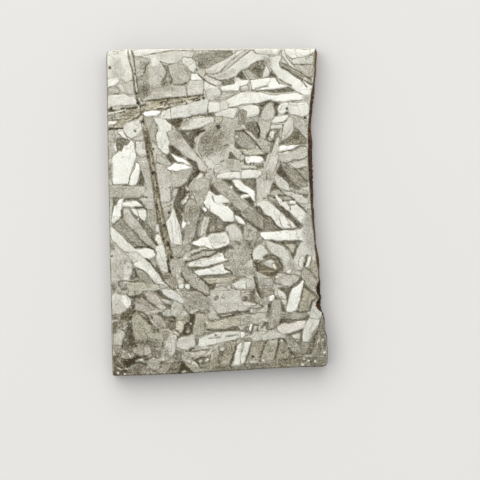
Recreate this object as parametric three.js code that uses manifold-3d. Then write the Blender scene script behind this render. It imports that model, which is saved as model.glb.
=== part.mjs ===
import * as THREE from 'three';
import Module from 'manifold-3d';

// Slice of an iron meteorite, lying on its back: sawn, polished and etched on the front,
// with a strip of natural dark crust along its right edge.
// Millimetres, +Z up, origin under the middle of the slice.

// Driving dimensions
const THICKNESS = 3.0;
const ETCH_FLOOR = 2.9;
const BEVEL = 0.12;
const BACK_BEVEL = 0.1;
const GROOVE = 0.05;
const CRUST_RIDGE = 0.05;
const RIDGE_PITCH = 0.4;
const SIDE_STEP = 0.2;
const CRACK_DEPTH = 0.3;
const PIT_DEPTH = 0.35;

// The pattern was surveyed on a square sheet, in tenths of a millimetre: across, then down.
const SURVEY_UNIT = 0.1;
const SHEET_MIDDLE = { across: 217.2, down: 212.2 };

// How far each kind of metal stands above the etched floor; the dark fields lie below it.
const STANDS = { W: 0.1, B: 0.09, L: 0.075, M: 0.05, G: 0.03 };
const SINKS = { D: 0.03, K: 0.06 };

// Edges of the slice on the survey sheet: the front face, and the widest line of the crust.
const LEFT_EDGE = [[106.3, 55], [107.8, 152], [109, 205], [110, 262], [111, 300], [111.6, 340], [112.3, 373]];
const LOWER_LEFT_CORNER = [[112.8, 375.4]];
const BOTTOM_EDGE = [
  [115, 376.1], [150, 375.2], [180, 373.9], [210, 372.1],
  [240, 370.4], [270, 368.5], [300, 367.1], [323, 366.8],
];
const LOWER_RIGHT_CORNER = [[326, 365.6], [327.4, 362.5]];
const TOP_EDGE = [[316, 48.2], [222, 48.4], [128, 49], [112, 50]];
const UPPER_LEFT_CORNER = [[108.6, 50.9], [106.9, 52.6]];
const CRUST_FRONT = [
  [314.8, 52], [314.8, 66], [313.6, 85], [311, 95], [309.5, 112], [308, 130], [308, 160], [309.6, 186],
  [312, 218], [315, 243], [316.2, 261], [318.6, 272], [318.8, 281], [316.6, 287], [316.8, 292],
  [319.6, 297.4], [317, 301], [316.4, 306], [318.6, 309.6], [322.2, 312.4], [324, 320], [324.6, 331],
  [326.8, 337], [327.4, 346], [327.4, 360],
];
const CRUST_WIDEST = [
  [317.4, 52], [316.8, 70], [315.6, 85], [314.2, 98], [313.2, 111], [311.6, 124], [313, 140], [313.1, 160],
  [313.8, 190], [315, 218], [316.6, 243], [319.4, 256], [320.4, 270], [321.2, 283], [321.6, 290],
  [321.7, 297], [321.8, 302], [322, 306], [322.6, 309.6], [323.6, 312.4], [325.2, 320], [325.6, 331],
  [327.6, 337], [328.1, 346], [328.1, 360],
];
const WIDEST_ACROSS = 328.1;

// Two hollows in the crust. Each is full within its core and has faded out at its reach.
const NOTCHES = [{ down: 289, core: 4, reach: 8 }, { down: 305.5, core: 3, reach: 6.2 }];

// The wall: a height, then how far out the crust has come there and how far in the hollows.
const WALL_LEVELS = [
  { height: BACK_BEVEL, crust: 0.8, notch: 0.8 },
  { height: 1.2, crust: 1, notch: 0.9 },
  { height: 1.9, crust: 0.85, notch: 0 },
  { height: 2.45, crust: 0.55, notch: -0.1 },
  { height: THICKNESS - BEVEL, crust: 0.1, notch: 0 },
];
const FRONT_LEVEL = { height: ETCH_FLOOR, crust: 0.05, notch: 0 };

// Ridges of the crust: strength, rate and start of each wave; calmer near the front face.
const RIDGE_WAVES = [[1, 1, 0], [0.5, 0.31, 1], [0.4, 0.13, 0]];
const CALM_SHARE = 0.35;
const HIGHEST_RIDGE = 0.4;

// Details of the cutting: how deep plates are rooted, the height of their upright foot,
// how far cutters reach past the front, and how far a sharp corner may run when moved.
const ROOT = 0.3;
const FOOT = 0.01;
const CLEARANCE = 0.5;
const SHARPEST_CORNER = 0.8;
const STRIP_END = 0.4;
const WIDE_CRACK = 2;

// Metal plates: kind, then the corners of the outline.
const PLATES = [
  ['B', '106,51 129,50 131,66 133,79 126,83 119,77 107,79'],
  ['W', '107,79 117,77 119.5,81 115,84.5 107,87.5'],
  ['M', '107,88 115.5,85.5 121,92.5 109,94.5'],
  ['L', '121,82.5 126,83 133,79.5 135,93 132,95 125,93'],
  ['B', '107,95 125,94 134,97 138,105 125,107 107,112'],
  ['M', '133,56.5 150,58 147,63 143.5,75 139,77 136,76'],
  ['B', '132.5,50 175,49 162,52.3 145,55 134,56.5'],
  ['L', '134,57 145,55.3 176,50 196,50.5 192,58 184,56.5 178,62.5 168,63.5 158,58.5 150,58.5'],
  ['M', '151,60 158,58.5 163.5,65 166,72 162,80 161,85 150,86 143.5,76 145,69'],
  ['G', '136,77 143,76.5 150,86 157,87 150,93 141,101 138,85'],
  ['M', '168,64.5 183,64.5 191,73 190,79 184,84.5 173,84.3 171,74.5'],
  ['L', '182,60 192,58 196,62 197,68 194,72.5 186,67'],
  ['M', '141,101 157,88 172,86 186,86 187,97 160,100.5'],
  ['L', '187,86 190,80 203,80 204,88 203,94.5 188,97'],
  ['B', '204,69 220,61.5 238,51 247,48.5 232,59 220,71 206,73'],
  ['M', '220,73 232,60 248,48.5 252,48.5 235,62'],
  ['B', '208,75.5 221,73 236,61.5 252,50 268,54.5 270,57 258,61 249,67.5 236,75.5 219,80'],
  ['M', '244,70 249,70 258,79 250,79.5'],
  ['W', '250,80 272,77.5 280,84 290,86 270,90 252,89'],
  ['W', '226,99.5 241,91.5 272,94.5 297,93 309,98 290,101 262,103 228.7,107.5'],
  ['W', '220,87.5 234,84 238,76.5 249.5,82 240,86 239,91 222,91'],
  ['M', '220,99.5 222,92 236,93 228,97.5'],
  ['L', '212,87 221,92 220,98 207,100 206,92'],
  ['L', '252,49 279,48 281,51 278,55 256,53.5'],
  ['W', '285,48.5 315,48.5 315,53 292,58.5 285,53'],
  ['L', '292,59 314,54.5 313,63.5 293,64'],
  ['M', '294,64.5 313.5,64 313,76 309,78 298,69'],
  ['B', '284,49 286,57 296,67.5 311,80 297,71.5 281,55'],
  ['B', '270,57 278,54.5 282,66.5 296,76 313,86 310,97 297,91.5 283,84 271,69'],
  ['W', '143.5,112 150,110.5 162,111 157,116 146,116.3'],
  ['L', '126,122.5 140,119.5 142.5,128 137,136 128,137 123,129'],
  ['L', '108,130 115,130 116,136 114,139 116,154 108,158'],
  ['W', '131,140 135,142 137,160 128,184.5 109,184 109,160 128,146'],
  ['W', '135.5,162 140,165 140,175 137,185 128.5,185'],
  ['L', '135.5,141 143,140.5 147,150 147,155 138,156'],
  ['M', '145,118 153,117 157,127 155,134 158,146 146,135'],
  ['B', '154,117.5 162,117.5 172,126.5 166.5,132 169.5,142 168,155.5 158,148 155.5,134 158,131'],
  ['L', '160.5,114.5 171,107.5 198,100 209,100 206.5,112 183,118.5 163,118.5'],
  ['L', '188,119 203,116.8 215,119 210,124 191,130 178,129.8'],
  ['L', '167,132 172,128.5 190,146 207,166 206,172 199,171 190,159 170,143.5'],
  ['W', '170.3,153.2 183,157 192,166 177,162'],
  ['W', '166.8,168 175,163 192,167.5 176,172'],
  ['M', '198,137 212,124 220,119 236,118 244,130 234,140 221,158 222,165 206,168 195,150'],
  ['B', '210,102 219,101.5 220,110.5 207.5,113'],
  ['L', '215,113 236,107.5 238,109 234,119 214.5,116'],
  ['B', '238,107.5 258,105 260,110 256,116 247,117.5'],
  ['M', '269.5,101.8 275.3,111 271.5,119.5 261,118.5 262.5,110'],
  ['L', '261,119.5 271,120 266.5,138.5 260,136.5 257.8,125.5'],
  ['M', '235,131.5 243,131.5 256,145 247,148.8 236,143'],
  ['M', '256,140.5 267,139.5 271,150 268,153.5 258,146'],
  ['L', '240,150 258,148.5 266,154 246,155.5'],
  ['W', '245.2,157 258,155.5 264,160 246,164'],
  ['L', '279,104.5 288,101.5 287,110 281,113.5 277,109'],
  ['B', '289,102 307,101.5 309.5,111 303,116.5 288.5,112'],
  ['W', '272,121 275,116.5 290,115 283,122.3'],
  ['L', '292,116.5 308.5,121.5 308.5,142 293,121'],
  ['L', '280.5,141.5 285.5,120.5 292,117.5 294,127.5 290,135.5'],
  ['W', '278.5,146.5 305,145 284,151'],
  ['L', '279,153 304,148 308,157 280,162.5'],
  ['L', '271,124.5 283,124 282,128.5 269.5,129.5'],
  ['L', '278.5,134 278,152 271,178 262.5,180 271,154'],
  ['M', '137,159 148,156 156,212 147,212 139,202 146,188 144,180'],
  ['M', '109,185 144,186.5 139,198 110,198'],
  ['W', '120,199 124,197.5 121.5,206 120,218 112,224 110.5,220'],
  ['W', '123.5,202.5 137,200.8 143.5,206.5 122,207'],
  ['L', '156,154 172,164.5 165,167 156,161.7'],
  ['M', '172,172.5 192,170 184,184 172.5,189'],
  ['L', '155,163 171,172 170,202 162,203 155.5,172'],
  ['M', '188.5,187 204,177 210,181 206.5,192 205,195'],
  ['M', '192,192 204,200 201.5,206 200,212 184,212 196,203'],
  ['W', '206.5,194 210,190.5 215,195 230,200.5 226.5,205.5 234,212 234.8,221 224,221.8 203,202'],
  ['L', '211,179 216,178.5 226,183 212,183.3'],
  ['M', '210,160 240,161 240,170 210,172'],
  ['L', '217,173.5 240,172 240,179 215,178'],
  ['B', '240.5,171.5 262,170 260.5,175 255,178.3 240.5,178.8'],
  ['W', '232,180 239,179.8 254.5,191 255,202 247.5,194 236,186.5'],
  ['G', '212,183.5 222,181 240.5,197.5 257,212 264,230 242,213 223.5,195'],
  ['B', '288.5,164 307,158.8 307.5,166 293,168'],
  ['G', '281,164 296,170.5 308,186 294,183'],
  ['L', '296,169 308,167.5 309,181'],
  ['L', '274,175.5 280,176 290.3,188.5 280,188.5'],
  ['M', '270,193 280,190.5 285.5,194.8 268.5,195.5'],
  ['L', '284,191.5 290,191 308,198 309,203 296,201'],
  ['W', '273,195.5 277,195 289,205 290,212 276,198.5'],
  ['W', '289,202 295,201 309,216 309.5,226 304.5,226 289,212'],
  ['B', '256,203.5 268,200.5 297,228 281.5,229 270.5,216.5'],
  ['M', '123,208.5 129.5,209.3 156.5,245 152.5,248 123.3,214'],
  ['W', '131,208.7 145.5,209.8 146.8,215.5 145,222.5'],
  ['G', '112,224.5 122.5,219.5 149,247.3 133.5,248'],
  ['W', '110,226 112,225.5 134.2,250 122.5,250 110.5,237'],
  ['L', '110.5,239 124,252 134.5,253 149,266 110.5,281'],
  ['W', '135,250 151,249 156,254.5 143,258.3'],
  ['L', '157,245 164,246 168.5,272 157.5,263'],
  ['W', '155.5,234.5 161,237 164.5,244.5 158,244.5'],
  ['M', '146.5,210 156.5,208 160,230 155,233.5 145.5,223'],
  ['W', '173.3,207.2 182,236 181.5,245 171.5,244 165.5,224.5'],
  ['M', '184.5,206 201,206 190.5,250 176.5,257 170.5,246 184,239.5'],
  ['M', '204,216 208.5,219 202,236 199,237'],
  ['W', '192,243 225,232.3 230,243 217,249 192.5,245.2'],
  ['L', '194,249.3 209,249 193,254.5'],
  ['M', '193,256 216,251 200,257.5 189.5,258.5'],
  ['L', '188,264.5 222,253.3 227.5,261 208,266'],
  ['W', '235,215 241,217 245.8,223.5 239,222.8'],
  ['L', '226,227 236,224.5 242,234 242,243 232,241.5'],
  ['M', '244,226 249.5,223.5 257.5,231.5 254,241 245,239.5'],
  ['G', '243,240 257,242.5 247,261 224,266 230,249.3'],
  ['B', '257.5,246 264.5,245.5 268.5,253 263,259.5 252.2,256'],
  ['W', '260,232 309,227.5 311,241 263.5,239.5'],
  ['L', '265,241 275,243 289.2,252.5 283,260 271.5,253.5'],
  ['L', '297,249 300.5,242.5 313,245 303.5,266 292,266'],
  ['B', '122,295 129,297 130.5,304 123,312 112,312 113,296'],
  ['W', '133,265 145,260 168,286 160,287 152,279.5'],
  ['M', '127,283 143,282 157,290 140,294 127,295'],
  ['G', '165,274 176,280 177.5,288 168,285'],
  ['L', '177,279 183,280.5 184.3,288 178.5,289.3'],
  ['M', '184,266 192,273 208.5,285.5 209.5,293 199,291.5 181.3,271'],
  ['W', '187,266 190,262 224,262 219,263.5 194,267.2'],
  ['W', '194,271 223.5,263 230,273 200,276.3'],
  ['M', '203,278.5 235,277.7 228,282 209,283.8'],
  ['B', '231,285.5 243,278.3 255.5,279 253,289 234,288.8'],
  ['W', '161,290.5 171.5,288.5 185,302 171,299'],
  ['M', '184.5,290 208,297 203,300 188,300'],
  ['L', '210,290 240,289.5 240,312 219,314 209.5,300'],
  ['M', '150,291 160.5,301 160,305 143,292'],
  ['M', '136,299.5 155,307.5 150,311.5 134.5,306'],
  ['M', '170,302 184,306 176,318 170,312'],
  ['W', '288,301 292,288.8 303,279 304,285 295.5,311 286,312'],
  ['L', '275,281 286,275 300,277 290,286.3'],
  ['L', '292,260 305,260 294,270'],
  ['M', '301,272 310,273 318,281 316,293 305,283'],
  ['M', '304,288 318,298 309.5,310 297.5,311'],
  ['L', '278,291 287,296.5 286,306 282,302'],
  ['W', '310,316.5 312,303 321,314 317.5,327.5 309.5,341.5 302.5,341.5'],
  ['L', '277,327 305,320.5 299,330 285,333.5'],
  ['L', '252,341 260,331 285,336 270,339.5'],
  ['L', '113,330 125,334 122,352 118,356 113,345'],
  ['M', '132,318 138,314 166,339.5 134.5,340.5'],
  ['L', '151,315 157,314 167,324.5 164.5,328.5 150,317'],
  ['L', '176.5,320.5 184,323.5 179,335.8 171.5,331.5'],
  ['M', '195.5,315 207,316 202.5,335.7 192.5,334.5'],
  ['L', '208,320 240,316 240,325 225,329.3 207,329'],
  ['M', '242,315 277,315 272,328.5 241,325'],
  ['W', '210,336 216,332.5 240.3,332.5 236,339.5 208,345 198,341.5'],
  ['W', '177.5,341 182,337 195,335.8 195,346.5 179,349.3'],
  ['L', '168,337.5 177,338 174,354.5 163,356'],
  ['L', '186,353 208,350.3 195,359.8 184,361'],
  ['G', '200,366 214,357 226,342.5 235.5,340.5 229,370 200,371'],
  ['M', '148,361 160,361 158.5,369 150.5,368.5'],
  ['L', '124,352.5 138,346.5 150.5,347.5 150,355 131.5,358.7'],
  ['M', '127,371.5 136,364.8 147,368 152,374'],
  ['W', '238,344.5 243,340.8 251.5,342.5 242.5,365 231,368'],
  ['M', '252,343 265,343 259.5,361 247.5,360'],
  ['L', '268.5,341 278,340 272.5,361 262.5,356'],
  ['M', '281,341 296,357 275,360.5'],
  ['M', '287,338 305,347 300,357 296,355'],
];

// Dark fields of fine intergrowth between the plates: kind, then the corners of the outline.
const DARK_FIELDS = [
  ['K', '163,64.5 168,65.5 173,82 161,85.5 166,71'],
  ['D', '194,58 216,51 232,50.5 218,63 203.5,68.5'],
  ['K', '218,80.5 234,76.5 234,84 222,85'],
  ['K', '247,69 257,61.5 267,64 261.5,77.5'],
  ['D', '254,91 290,86.5 296,92 272,94'],
  ['D', '279,63.5 283,60.5 298,71 313,80.5 313,85 287,69.5'],
  ['K', '116,139 130,140.5 122,150.5 116.5,153.5'],
  ['K', '167,120.5 187,118 177,129.5'],
  ['K', '178,130.5 204,127.5 194,149'],
  ['K', '169,145.5 172,145 184.5,157 171,153'],
  ['K', '252,103.5 271,100.3 260,117'],
  ['D', '243,124.5 257,122.5 259,137 256,140.5'],
  ['D', '294.5,126.5 307,144 279.5,143 293.5,132'],
  ['K', '277,130.5 280,130 270.5,154 269.5,150'],
  ['K', '140.5,170 144.2,184 137,185.8'],
  ['K', '124.5,198.6 139,197.8 144,206 137,201 124,203'],
  ['K', '166,156.5 170,153.2 176.2,162 172.5,164.3'],
  ['K', '186,157.5 196,161.7 200.5,171.5 187,186.5 193,167'],
  ['D', '176,187.2 187,184 189,192 175,212 174,202'],
  ['K', '229.8,152 240,160 227.5,158.8'],
  ['K', '258,155.3 267.5,153.3 264.5,161.5'],
  ['K', '221.5,179.9 231.5,180 247.5,194 240.5,196.3'],
  ['D', '240,179.3 255,179 255,190.5'],
  ['K', '244,199 249.5,197.3 254,206'],
  ['D', '225,204.3 231.5,202.5 241.5,212 234,212'],
  ['D', '279.5,163.5 300.5,188.5 291,186.5 275.5,173'],
  ['K', '270,193 273.5,182.3 279.5,189.5'],
  ['D', '270.5,201.5 276.5,202.5 304,226.5 297.5,228 277,209'],
  ['D', '175,209.5 182,212 182,228.5'],
  ['D', '206,212 212,212.5 224,223.5 225,232 205.5,236.5'],
  ['D', '234.5,211 241,211 263,230 257,230 242,217'],
  ['K', '235,220.5 246,225 243.3,235 236.5,223.5'],
  ['K', '252.5,206 258.5,206 270,216.5 263.5,217.5'],
  ['D', '264,217 270.5,216.8 281.5,229.3 272,231.3 264.5,230.5'],
  ['K', '276,242.5 300.5,241 292.5,258.5 287,247.5'],
  ['K', '145,260 150,262 162,277 157,271.5'],
  ['D', '133.5,268 139.5,277.5 128.5,281.5'],
  ['D', '204,281 215.5,285.5 212,290.2'],
  ['K', '156,291 160,290.3 169.5,299 161,298'],
  ['D', '121,317 130,307.5 135.5,311.5 130.5,320'],
  ['K', '136.5,311 159.5,328.3 142.5,317.5'],
  ['K', '189.7,314 195.2,314 191.5,334.3 180.5,336.5 184.3,324.5'],
  ['D', '249.5,291 255,289.5 255,301.5 250.5,300.5'],
  ['D', '127,325 130.5,322.5 137,347 128,349'],
  ['K', '121,358 136.5,355.3 147.8,357.3 129.5,366.5'],
  ['K', '176.5,373.4 183,361 193,372.3 184,369.5'],
  ['K', '280,325.5 280.5,319.8 297,320 292,321.5'],
  ['D', '198.5,360 210,359 207,364 200,363.7'],
  ['D', '311.5,337.5 319,327 313,351 307,354'],
];

// Fine dark seams that part the plates, each a line of points with one width.
const SEAMS = [
  [1.2, '200,171 193,179 187.5,186.5'],
  [1.5, '201,210 197,228 192,242'],
  [1.5, '192,255 204,250.5 220,250.5'],
  [1.5, '186,263 203,257 220,251.5'],
  [1.3, '294,169 303,178 309,181.5'],
  [1.4, '304,283 300,302 296,311'],
  [1.5, '304.3,284 312,292 318,296.5'],
  [1.5, '318,298 311,305 308,311.5 296,311.8'],
  [1.6, '143.5,296 160,309'],
  [1.6, '235.5,347 230.3,366.5'],
  [1.6, '251.5,343 244,364.5'],
  [1.8, '267.5,340.5 259.5,361'],
  [1.4, '278.3,339.5 274.5,359.5'],
  [1.5, '303,331.5 300.3,348.5'],
];

// Natural cracks filled with rust: a width, then the line they follow.
const CRACKS = [
  [1.4, '128,50 131,66 134,80 136,93 141,107 143.5,122 145,127'],
  [1.2, '132,50 135.5,74 139,98'],
  [4.0, '146,135 149.5,152 153,172 158,204 164.5,236 169,256 169.5,272'],
  [2.0, '107,129 122.5,127.5 133,119.5 141.5,112.5'],
  [1.4, '107,110 124,108.5 138,106 162,99.5 203,95'],
  [1.6, '145,110 166,109.4 171,107.5'],
  [3.0, '255.5,276 259,287 263.5,298'],
];

// Small round pits, narrower at the bottom: across, down and radius.
const PIT_SIDES = 6;
const PIT_TAPER = 0.6;
const PITS = [
  [138.5, 103, 1.6], [142.5, 121.5, 1.3], [168, 99.5, 1.4], [153, 173.3, 1.8], [218.5, 126.5, 1.4],
  [168.5, 244.5, 1.5], [171.3, 257.8, 1.6], [133, 308, 1.3], [253, 357, 1.3], [281, 366, 1.2],
];

// Round inclusion with a rusty rim
const INCLUSION = { across: 268, down: 265.5, outer: [12.5, 10], inner: [7.5, 5.5], sides: 16 };

const wasm = await Module();
wasm.setup();

function toPart([across, down]) {
  const x = (across - SHEET_MIDDLE.across) * SURVEY_UNIT;
  const y = (SHEET_MIDDLE.down - down) * SURVEY_UNIT;
  return new THREE.Vector2(x, y);
}

function readPoints(text) {
  return text.split(' ').map((pair) => toPart(pair.split(',').map(Number)));
}

function anticlockwise(points) {
  return THREE.ShapeUtils.isClockWise(points) ? points.slice().reverse() : points;
}

// Joins rings of equal length, one above the other, into one closed solid.
function ringSolid(rings) {
  const count = rings[0].points.length;
  const vertices = rings.flatMap((ring) => ring.points.flatMap((point) => [point.x, point.y, ring.height]));
  const triangles = [];
  for (let level = 0; level < rings.length - 1; level += 1) {
    for (let i = 0; i < count; i += 1) {
      const next = (i + 1) % count;
      const low = level * count;
      const high = low + count;
      triangles.push(low + i, low + next, high + next, low + i, high + next, high + i);
    }
  }
  const top = (rings.length - 1) * count;
  for (const [a, b, c] of THREE.ShapeUtils.triangulateShape(rings[0].points, [])) {
    triangles.push(a, c, b);
  }
  for (const [a, b, c] of THREE.ShapeUtils.triangulateShape(rings[rings.length - 1].points, [])) {
    triangles.push(top + a, top + b, top + c);
  }
  const mesh = new wasm.Mesh({
    numProp: 3,
    vertProperties: new Float32Array(vertices),
    triVerts: new Uint32Array(triangles),
  });
  return new wasm.Manifold(mesh);
}

// Moves each corner of an anticlockwise outline inwards, with sharp corners held back.
function inset(points, distance) {
  return points.map((point, i) => {
    const before = points[(i + points.length - 1) % points.length];
    const after = points[(i + 1) % points.length];
    const arriving = point.clone().sub(before).normalize();
    const leaving = after.clone().sub(point).normalize();
    const inward = new THREE.Vector2(-arriving.y - leaving.y, arriving.x + leaving.x);
    const reach = Math.min(2 / inward.lengthSq(), SHARPEST_CORNER);
    return point.clone().addScaledVector(inward, distance * reach);
  });
}

// Raised plate with sloping sides, rooted below the etched floor.
function plate([kind, text]) {
  const outline = anticlockwise(readPoints(text));
  return ringSolid([
    { points: outline, height: ETCH_FLOOR - ROOT },
    { points: outline, height: ETCH_FLOOR - FOOT },
    { points: inset(outline, GROOVE), height: ETCH_FLOOR + STANDS[kind] },
  ]);
}

function cutter(points, depth) {
  return ringSolid([
    { points, height: ETCH_FLOOR - depth },
    { points, height: THICKNESS + CLEARANCE },
  ]);
}

function darkField([kind, text]) {
  return cutter(anticlockwise(readPoints(text)), SINKS[kind]);
}

// Strip of even width along a line, pinched at both ends.
function strip(width, text) {
  const line = readPoints(text);
  const half = width * SURVEY_UNIT * 0.5;
  const sides = { left: [], right: [] };
  line.forEach((point, i) => {
    const before = line[Math.max(i - 1, 0)];
    const after = line[Math.min(i + 1, line.length - 1)];
    const across = after.clone().sub(before).normalize();
    const reach = i === 0 || i === line.length - 1 ? half * STRIP_END : half;
    sides.left.push(new THREE.Vector2(point.x - across.y * reach, point.y + across.x * reach));
    sides.right.push(new THREE.Vector2(point.x + across.y * reach, point.y - across.x * reach));
  });
  return anticlockwise(sides.left.concat(sides.right.reverse()));
}

function ellipse(across, down, radii, sides) {
  const points = [];
  for (let i = 0; i < sides; i += 1) {
    const turn = (i / sides) * Math.PI * 2;
    points.push(toPart([across + Math.cos(turn) * radii[0], down - Math.sin(turn) * radii[1]]));
  }
  return anticlockwise(points);
}

function pit([across, down, radius]) {
  const rim = ellipse(across, down, [radius, radius], PIT_SIDES);
  return ringSolid([
    { points: inset(rim, radius * SURVEY_UNIT * PIT_TAPER), height: ETCH_FLOOR - PIT_DEPTH },
    { points: rim, height: THICKNESS + CLEARANCE },
  ]);
}

// Value of a hand-drawn edge line at a distance down the sheet.
function edgeAt(line, down) {
  const last = line.length - 1;
  const after = line.findIndex((point) => point[1] >= down);
  if (after <= 0) return line[after === 0 ? 0 : last][0];
  const [fromX, fromY] = line[after - 1];
  const [toX, toY] = line[after];
  return THREE.MathUtils.mapLinear(down, fromY, toY, fromX, toX);
}

// How fully a place along the edge lies in one of the hollows, 0 to 1.
function notchAt(down) {
  const shares = NOTCHES.map(({ down: middle, core, reach }) => {
    const away = Math.abs(down - middle);
    return THREE.MathUtils.clamp((reach - away) / (reach - core), 0, 1);
  });
  return Math.max(...shares);
}

// Ridges that run across the crust, in and out along the edge.
function ridgeAt(down) {
  const turn = (down * SURVEY_UNIT / RIDGE_PITCH) * Math.PI * 2;
  const waves = RIDGE_WAVES.map(([strength, rate, start]) => strength * Math.sin(turn * rate + start));
  const height = waves.reduce((sum, wave) => sum + wave, 0) * CRUST_RIDGE / SURVEY_UNIT;
  return Math.min(height, HIGHEST_RIDGE);
}

function crustPoint(down, level) {
  const front = edgeAt(CRUST_FRONT, down);
  const widest = edgeAt(CRUST_WIDEST, down);
  const reach = THREE.MathUtils.lerp(level.crust, level.notch, notchAt(down));
  const ridge = ridgeAt(down) * THREE.MathUtils.lerp(CALM_SHARE, 1, Math.max(reach, 0));
  return [Math.min(front + (widest - front) * reach + ridge, WIDEST_ACROSS), down];
}

// Outline of the slice at one level. The crust goes from bottom to top, so it is anticlockwise.
function wallOutline(level) {
  const crust = [];
  const first = CRUST_FRONT[CRUST_FRONT.length - 1][1];
  const last = CRUST_FRONT[0][1];
  for (let down = first; down >= last; down -= SIDE_STEP / SURVEY_UNIT) {
    crust.push(crustPoint(down, level));
  }
  const sheet = [
    ...LEFT_EDGE, ...LOWER_LEFT_CORNER, ...BOTTOM_EDGE, ...LOWER_RIGHT_CORNER,
    ...crust, ...TOP_EDGE, ...UPPER_LEFT_CORNER,
  ];
  return sheet.map(toPart);
}

function slab() {
  const back = { points: inset(wallOutline(WALL_LEVELS[0]), BACK_BEVEL), height: 0 };
  const wall = WALL_LEVELS.map((level) => ({ points: wallOutline(level), height: level.height }));
  const front = { points: inset(wallOutline(FRONT_LEVEL), BEVEL), height: ETCH_FLOOR };
  return ringSolid([back, ...wall, front]);
}

// Everything that stands above the etched floor stays inside the bevelled rim.
function faceBlock() {
  const points = inset(wallOutline(FRONT_LEVEL), BEVEL + GROOVE);
  return ringSolid([
    { points, height: ETCH_FLOOR - ROOT },
    { points, height: THICKNESS },
  ]);
}

function meteoriteSlice() {
  let pattern = plate(PLATES[0]);
  for (const entry of PLATES.slice(1)) pattern = pattern.add(plate(entry));
  pattern = pattern.intersect(faceBlock());
  let body = slab().add(pattern);
  for (const entry of DARK_FIELDS) body = body.subtract(darkField(entry));
  for (const [width, text] of SEAMS) body = body.subtract(cutter(strip(width, text), SINKS.K));
  for (const [width, text] of CRACKS) {
    const depth = width > WIDE_CRACK ? SINKS.K : CRACK_DEPTH;
    body = body.subtract(cutter(strip(width, text), depth));
  }
  for (const entry of PITS) body = body.subtract(pit(entry));
  const rim = ellipse(INCLUSION.across, INCLUSION.down, INCLUSION.outer, INCLUSION.sides);
  const core = ellipse(INCLUSION.across, INCLUSION.down, INCLUSION.inner, INCLUSION.sides);
  body = body.subtract(cutter(rim, SINKS.K));
  return body.add(ringSolid([
    { points: core, height: ETCH_FLOOR - ROOT },
    { points: inset(core, GROOVE * 2), height: ETCH_FLOOR + STANDS.M },
  ]));
}

function toGeometry(solid) {
  const mesh = solid.getMesh();
  const geometry = new THREE.BufferGeometry();
  geometry.setAttribute('position', new THREE.BufferAttribute(new Float32Array(mesh.vertProperties), 3));
  geometry.setIndex(new THREE.BufferAttribute(new Uint32Array(mesh.triVerts), 1));
  geometry.computeVertexNormals();
  return geometry;
}

const etchedIron = new THREE.MeshStandardMaterial({ color: 0xb4b2a6, metalness: 0.9, roughness: 0.42 });

const slice = new THREE.Mesh(toGeometry(meteoriteSlice()), etchedIron);
slice.name = 'meteorite_slice';

const model = new THREE.Group();
model.add(slice);

export default model;
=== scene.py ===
"""Slice of an iron meteorite: sawn flat, polished and etched on the front, natural crust along one edge.

The slice lies on its back on a pale floor. Its etched face is one numpy grid whose corners carry the
pattern of metal plates, dark fields, fine seams and rusty cracks as masks, and whose height follows them.
"""
import re

import bpy
import mathutils
import numpy as np
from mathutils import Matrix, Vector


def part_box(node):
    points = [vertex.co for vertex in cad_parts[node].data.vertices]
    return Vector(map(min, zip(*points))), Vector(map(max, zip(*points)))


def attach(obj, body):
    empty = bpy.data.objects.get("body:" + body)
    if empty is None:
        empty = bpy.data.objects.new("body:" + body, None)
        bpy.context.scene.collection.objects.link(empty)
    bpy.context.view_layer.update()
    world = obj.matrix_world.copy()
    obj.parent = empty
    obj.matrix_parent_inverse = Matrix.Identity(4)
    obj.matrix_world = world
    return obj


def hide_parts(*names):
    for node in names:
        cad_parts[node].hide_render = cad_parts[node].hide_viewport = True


bl_info = {
    "name": "Iron meteorite slice",
    "version": (1, 0, 0),
    "blender": (4, 5, 0),
    "location": "3D View > Sidebar > Meteorite",
    "description": "Etched slice of an iron meteorite lying on a pale floor",
    "category": "Object",
}

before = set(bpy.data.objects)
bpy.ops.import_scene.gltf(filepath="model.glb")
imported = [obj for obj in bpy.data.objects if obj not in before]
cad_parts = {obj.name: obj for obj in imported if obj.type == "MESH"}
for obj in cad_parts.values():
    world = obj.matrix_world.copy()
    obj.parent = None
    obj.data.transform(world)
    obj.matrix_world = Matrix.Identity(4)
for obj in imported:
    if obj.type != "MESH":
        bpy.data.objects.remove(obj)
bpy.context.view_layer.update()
MM = 0.001
NODE = "meteorite_slice"
LOW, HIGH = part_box(NODE)

# The pattern was surveyed on a square sheet, in tenths of a millimetre: across, then down.
SURVEY_UNIT = 0.1
MIDDLE_ACROSS = 217.2
MIDDLE_DOWN = 212.2

# Corners of the outline on the sheet, where the four sides meet.
UPPER_LEFT = (107.6, 51.7)
UPPER_RIGHT = (316, 48.2)
LOWER_LEFT = (112.8, 375.4)
LOWER_RIGHT = (326.9, 364.0)

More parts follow.
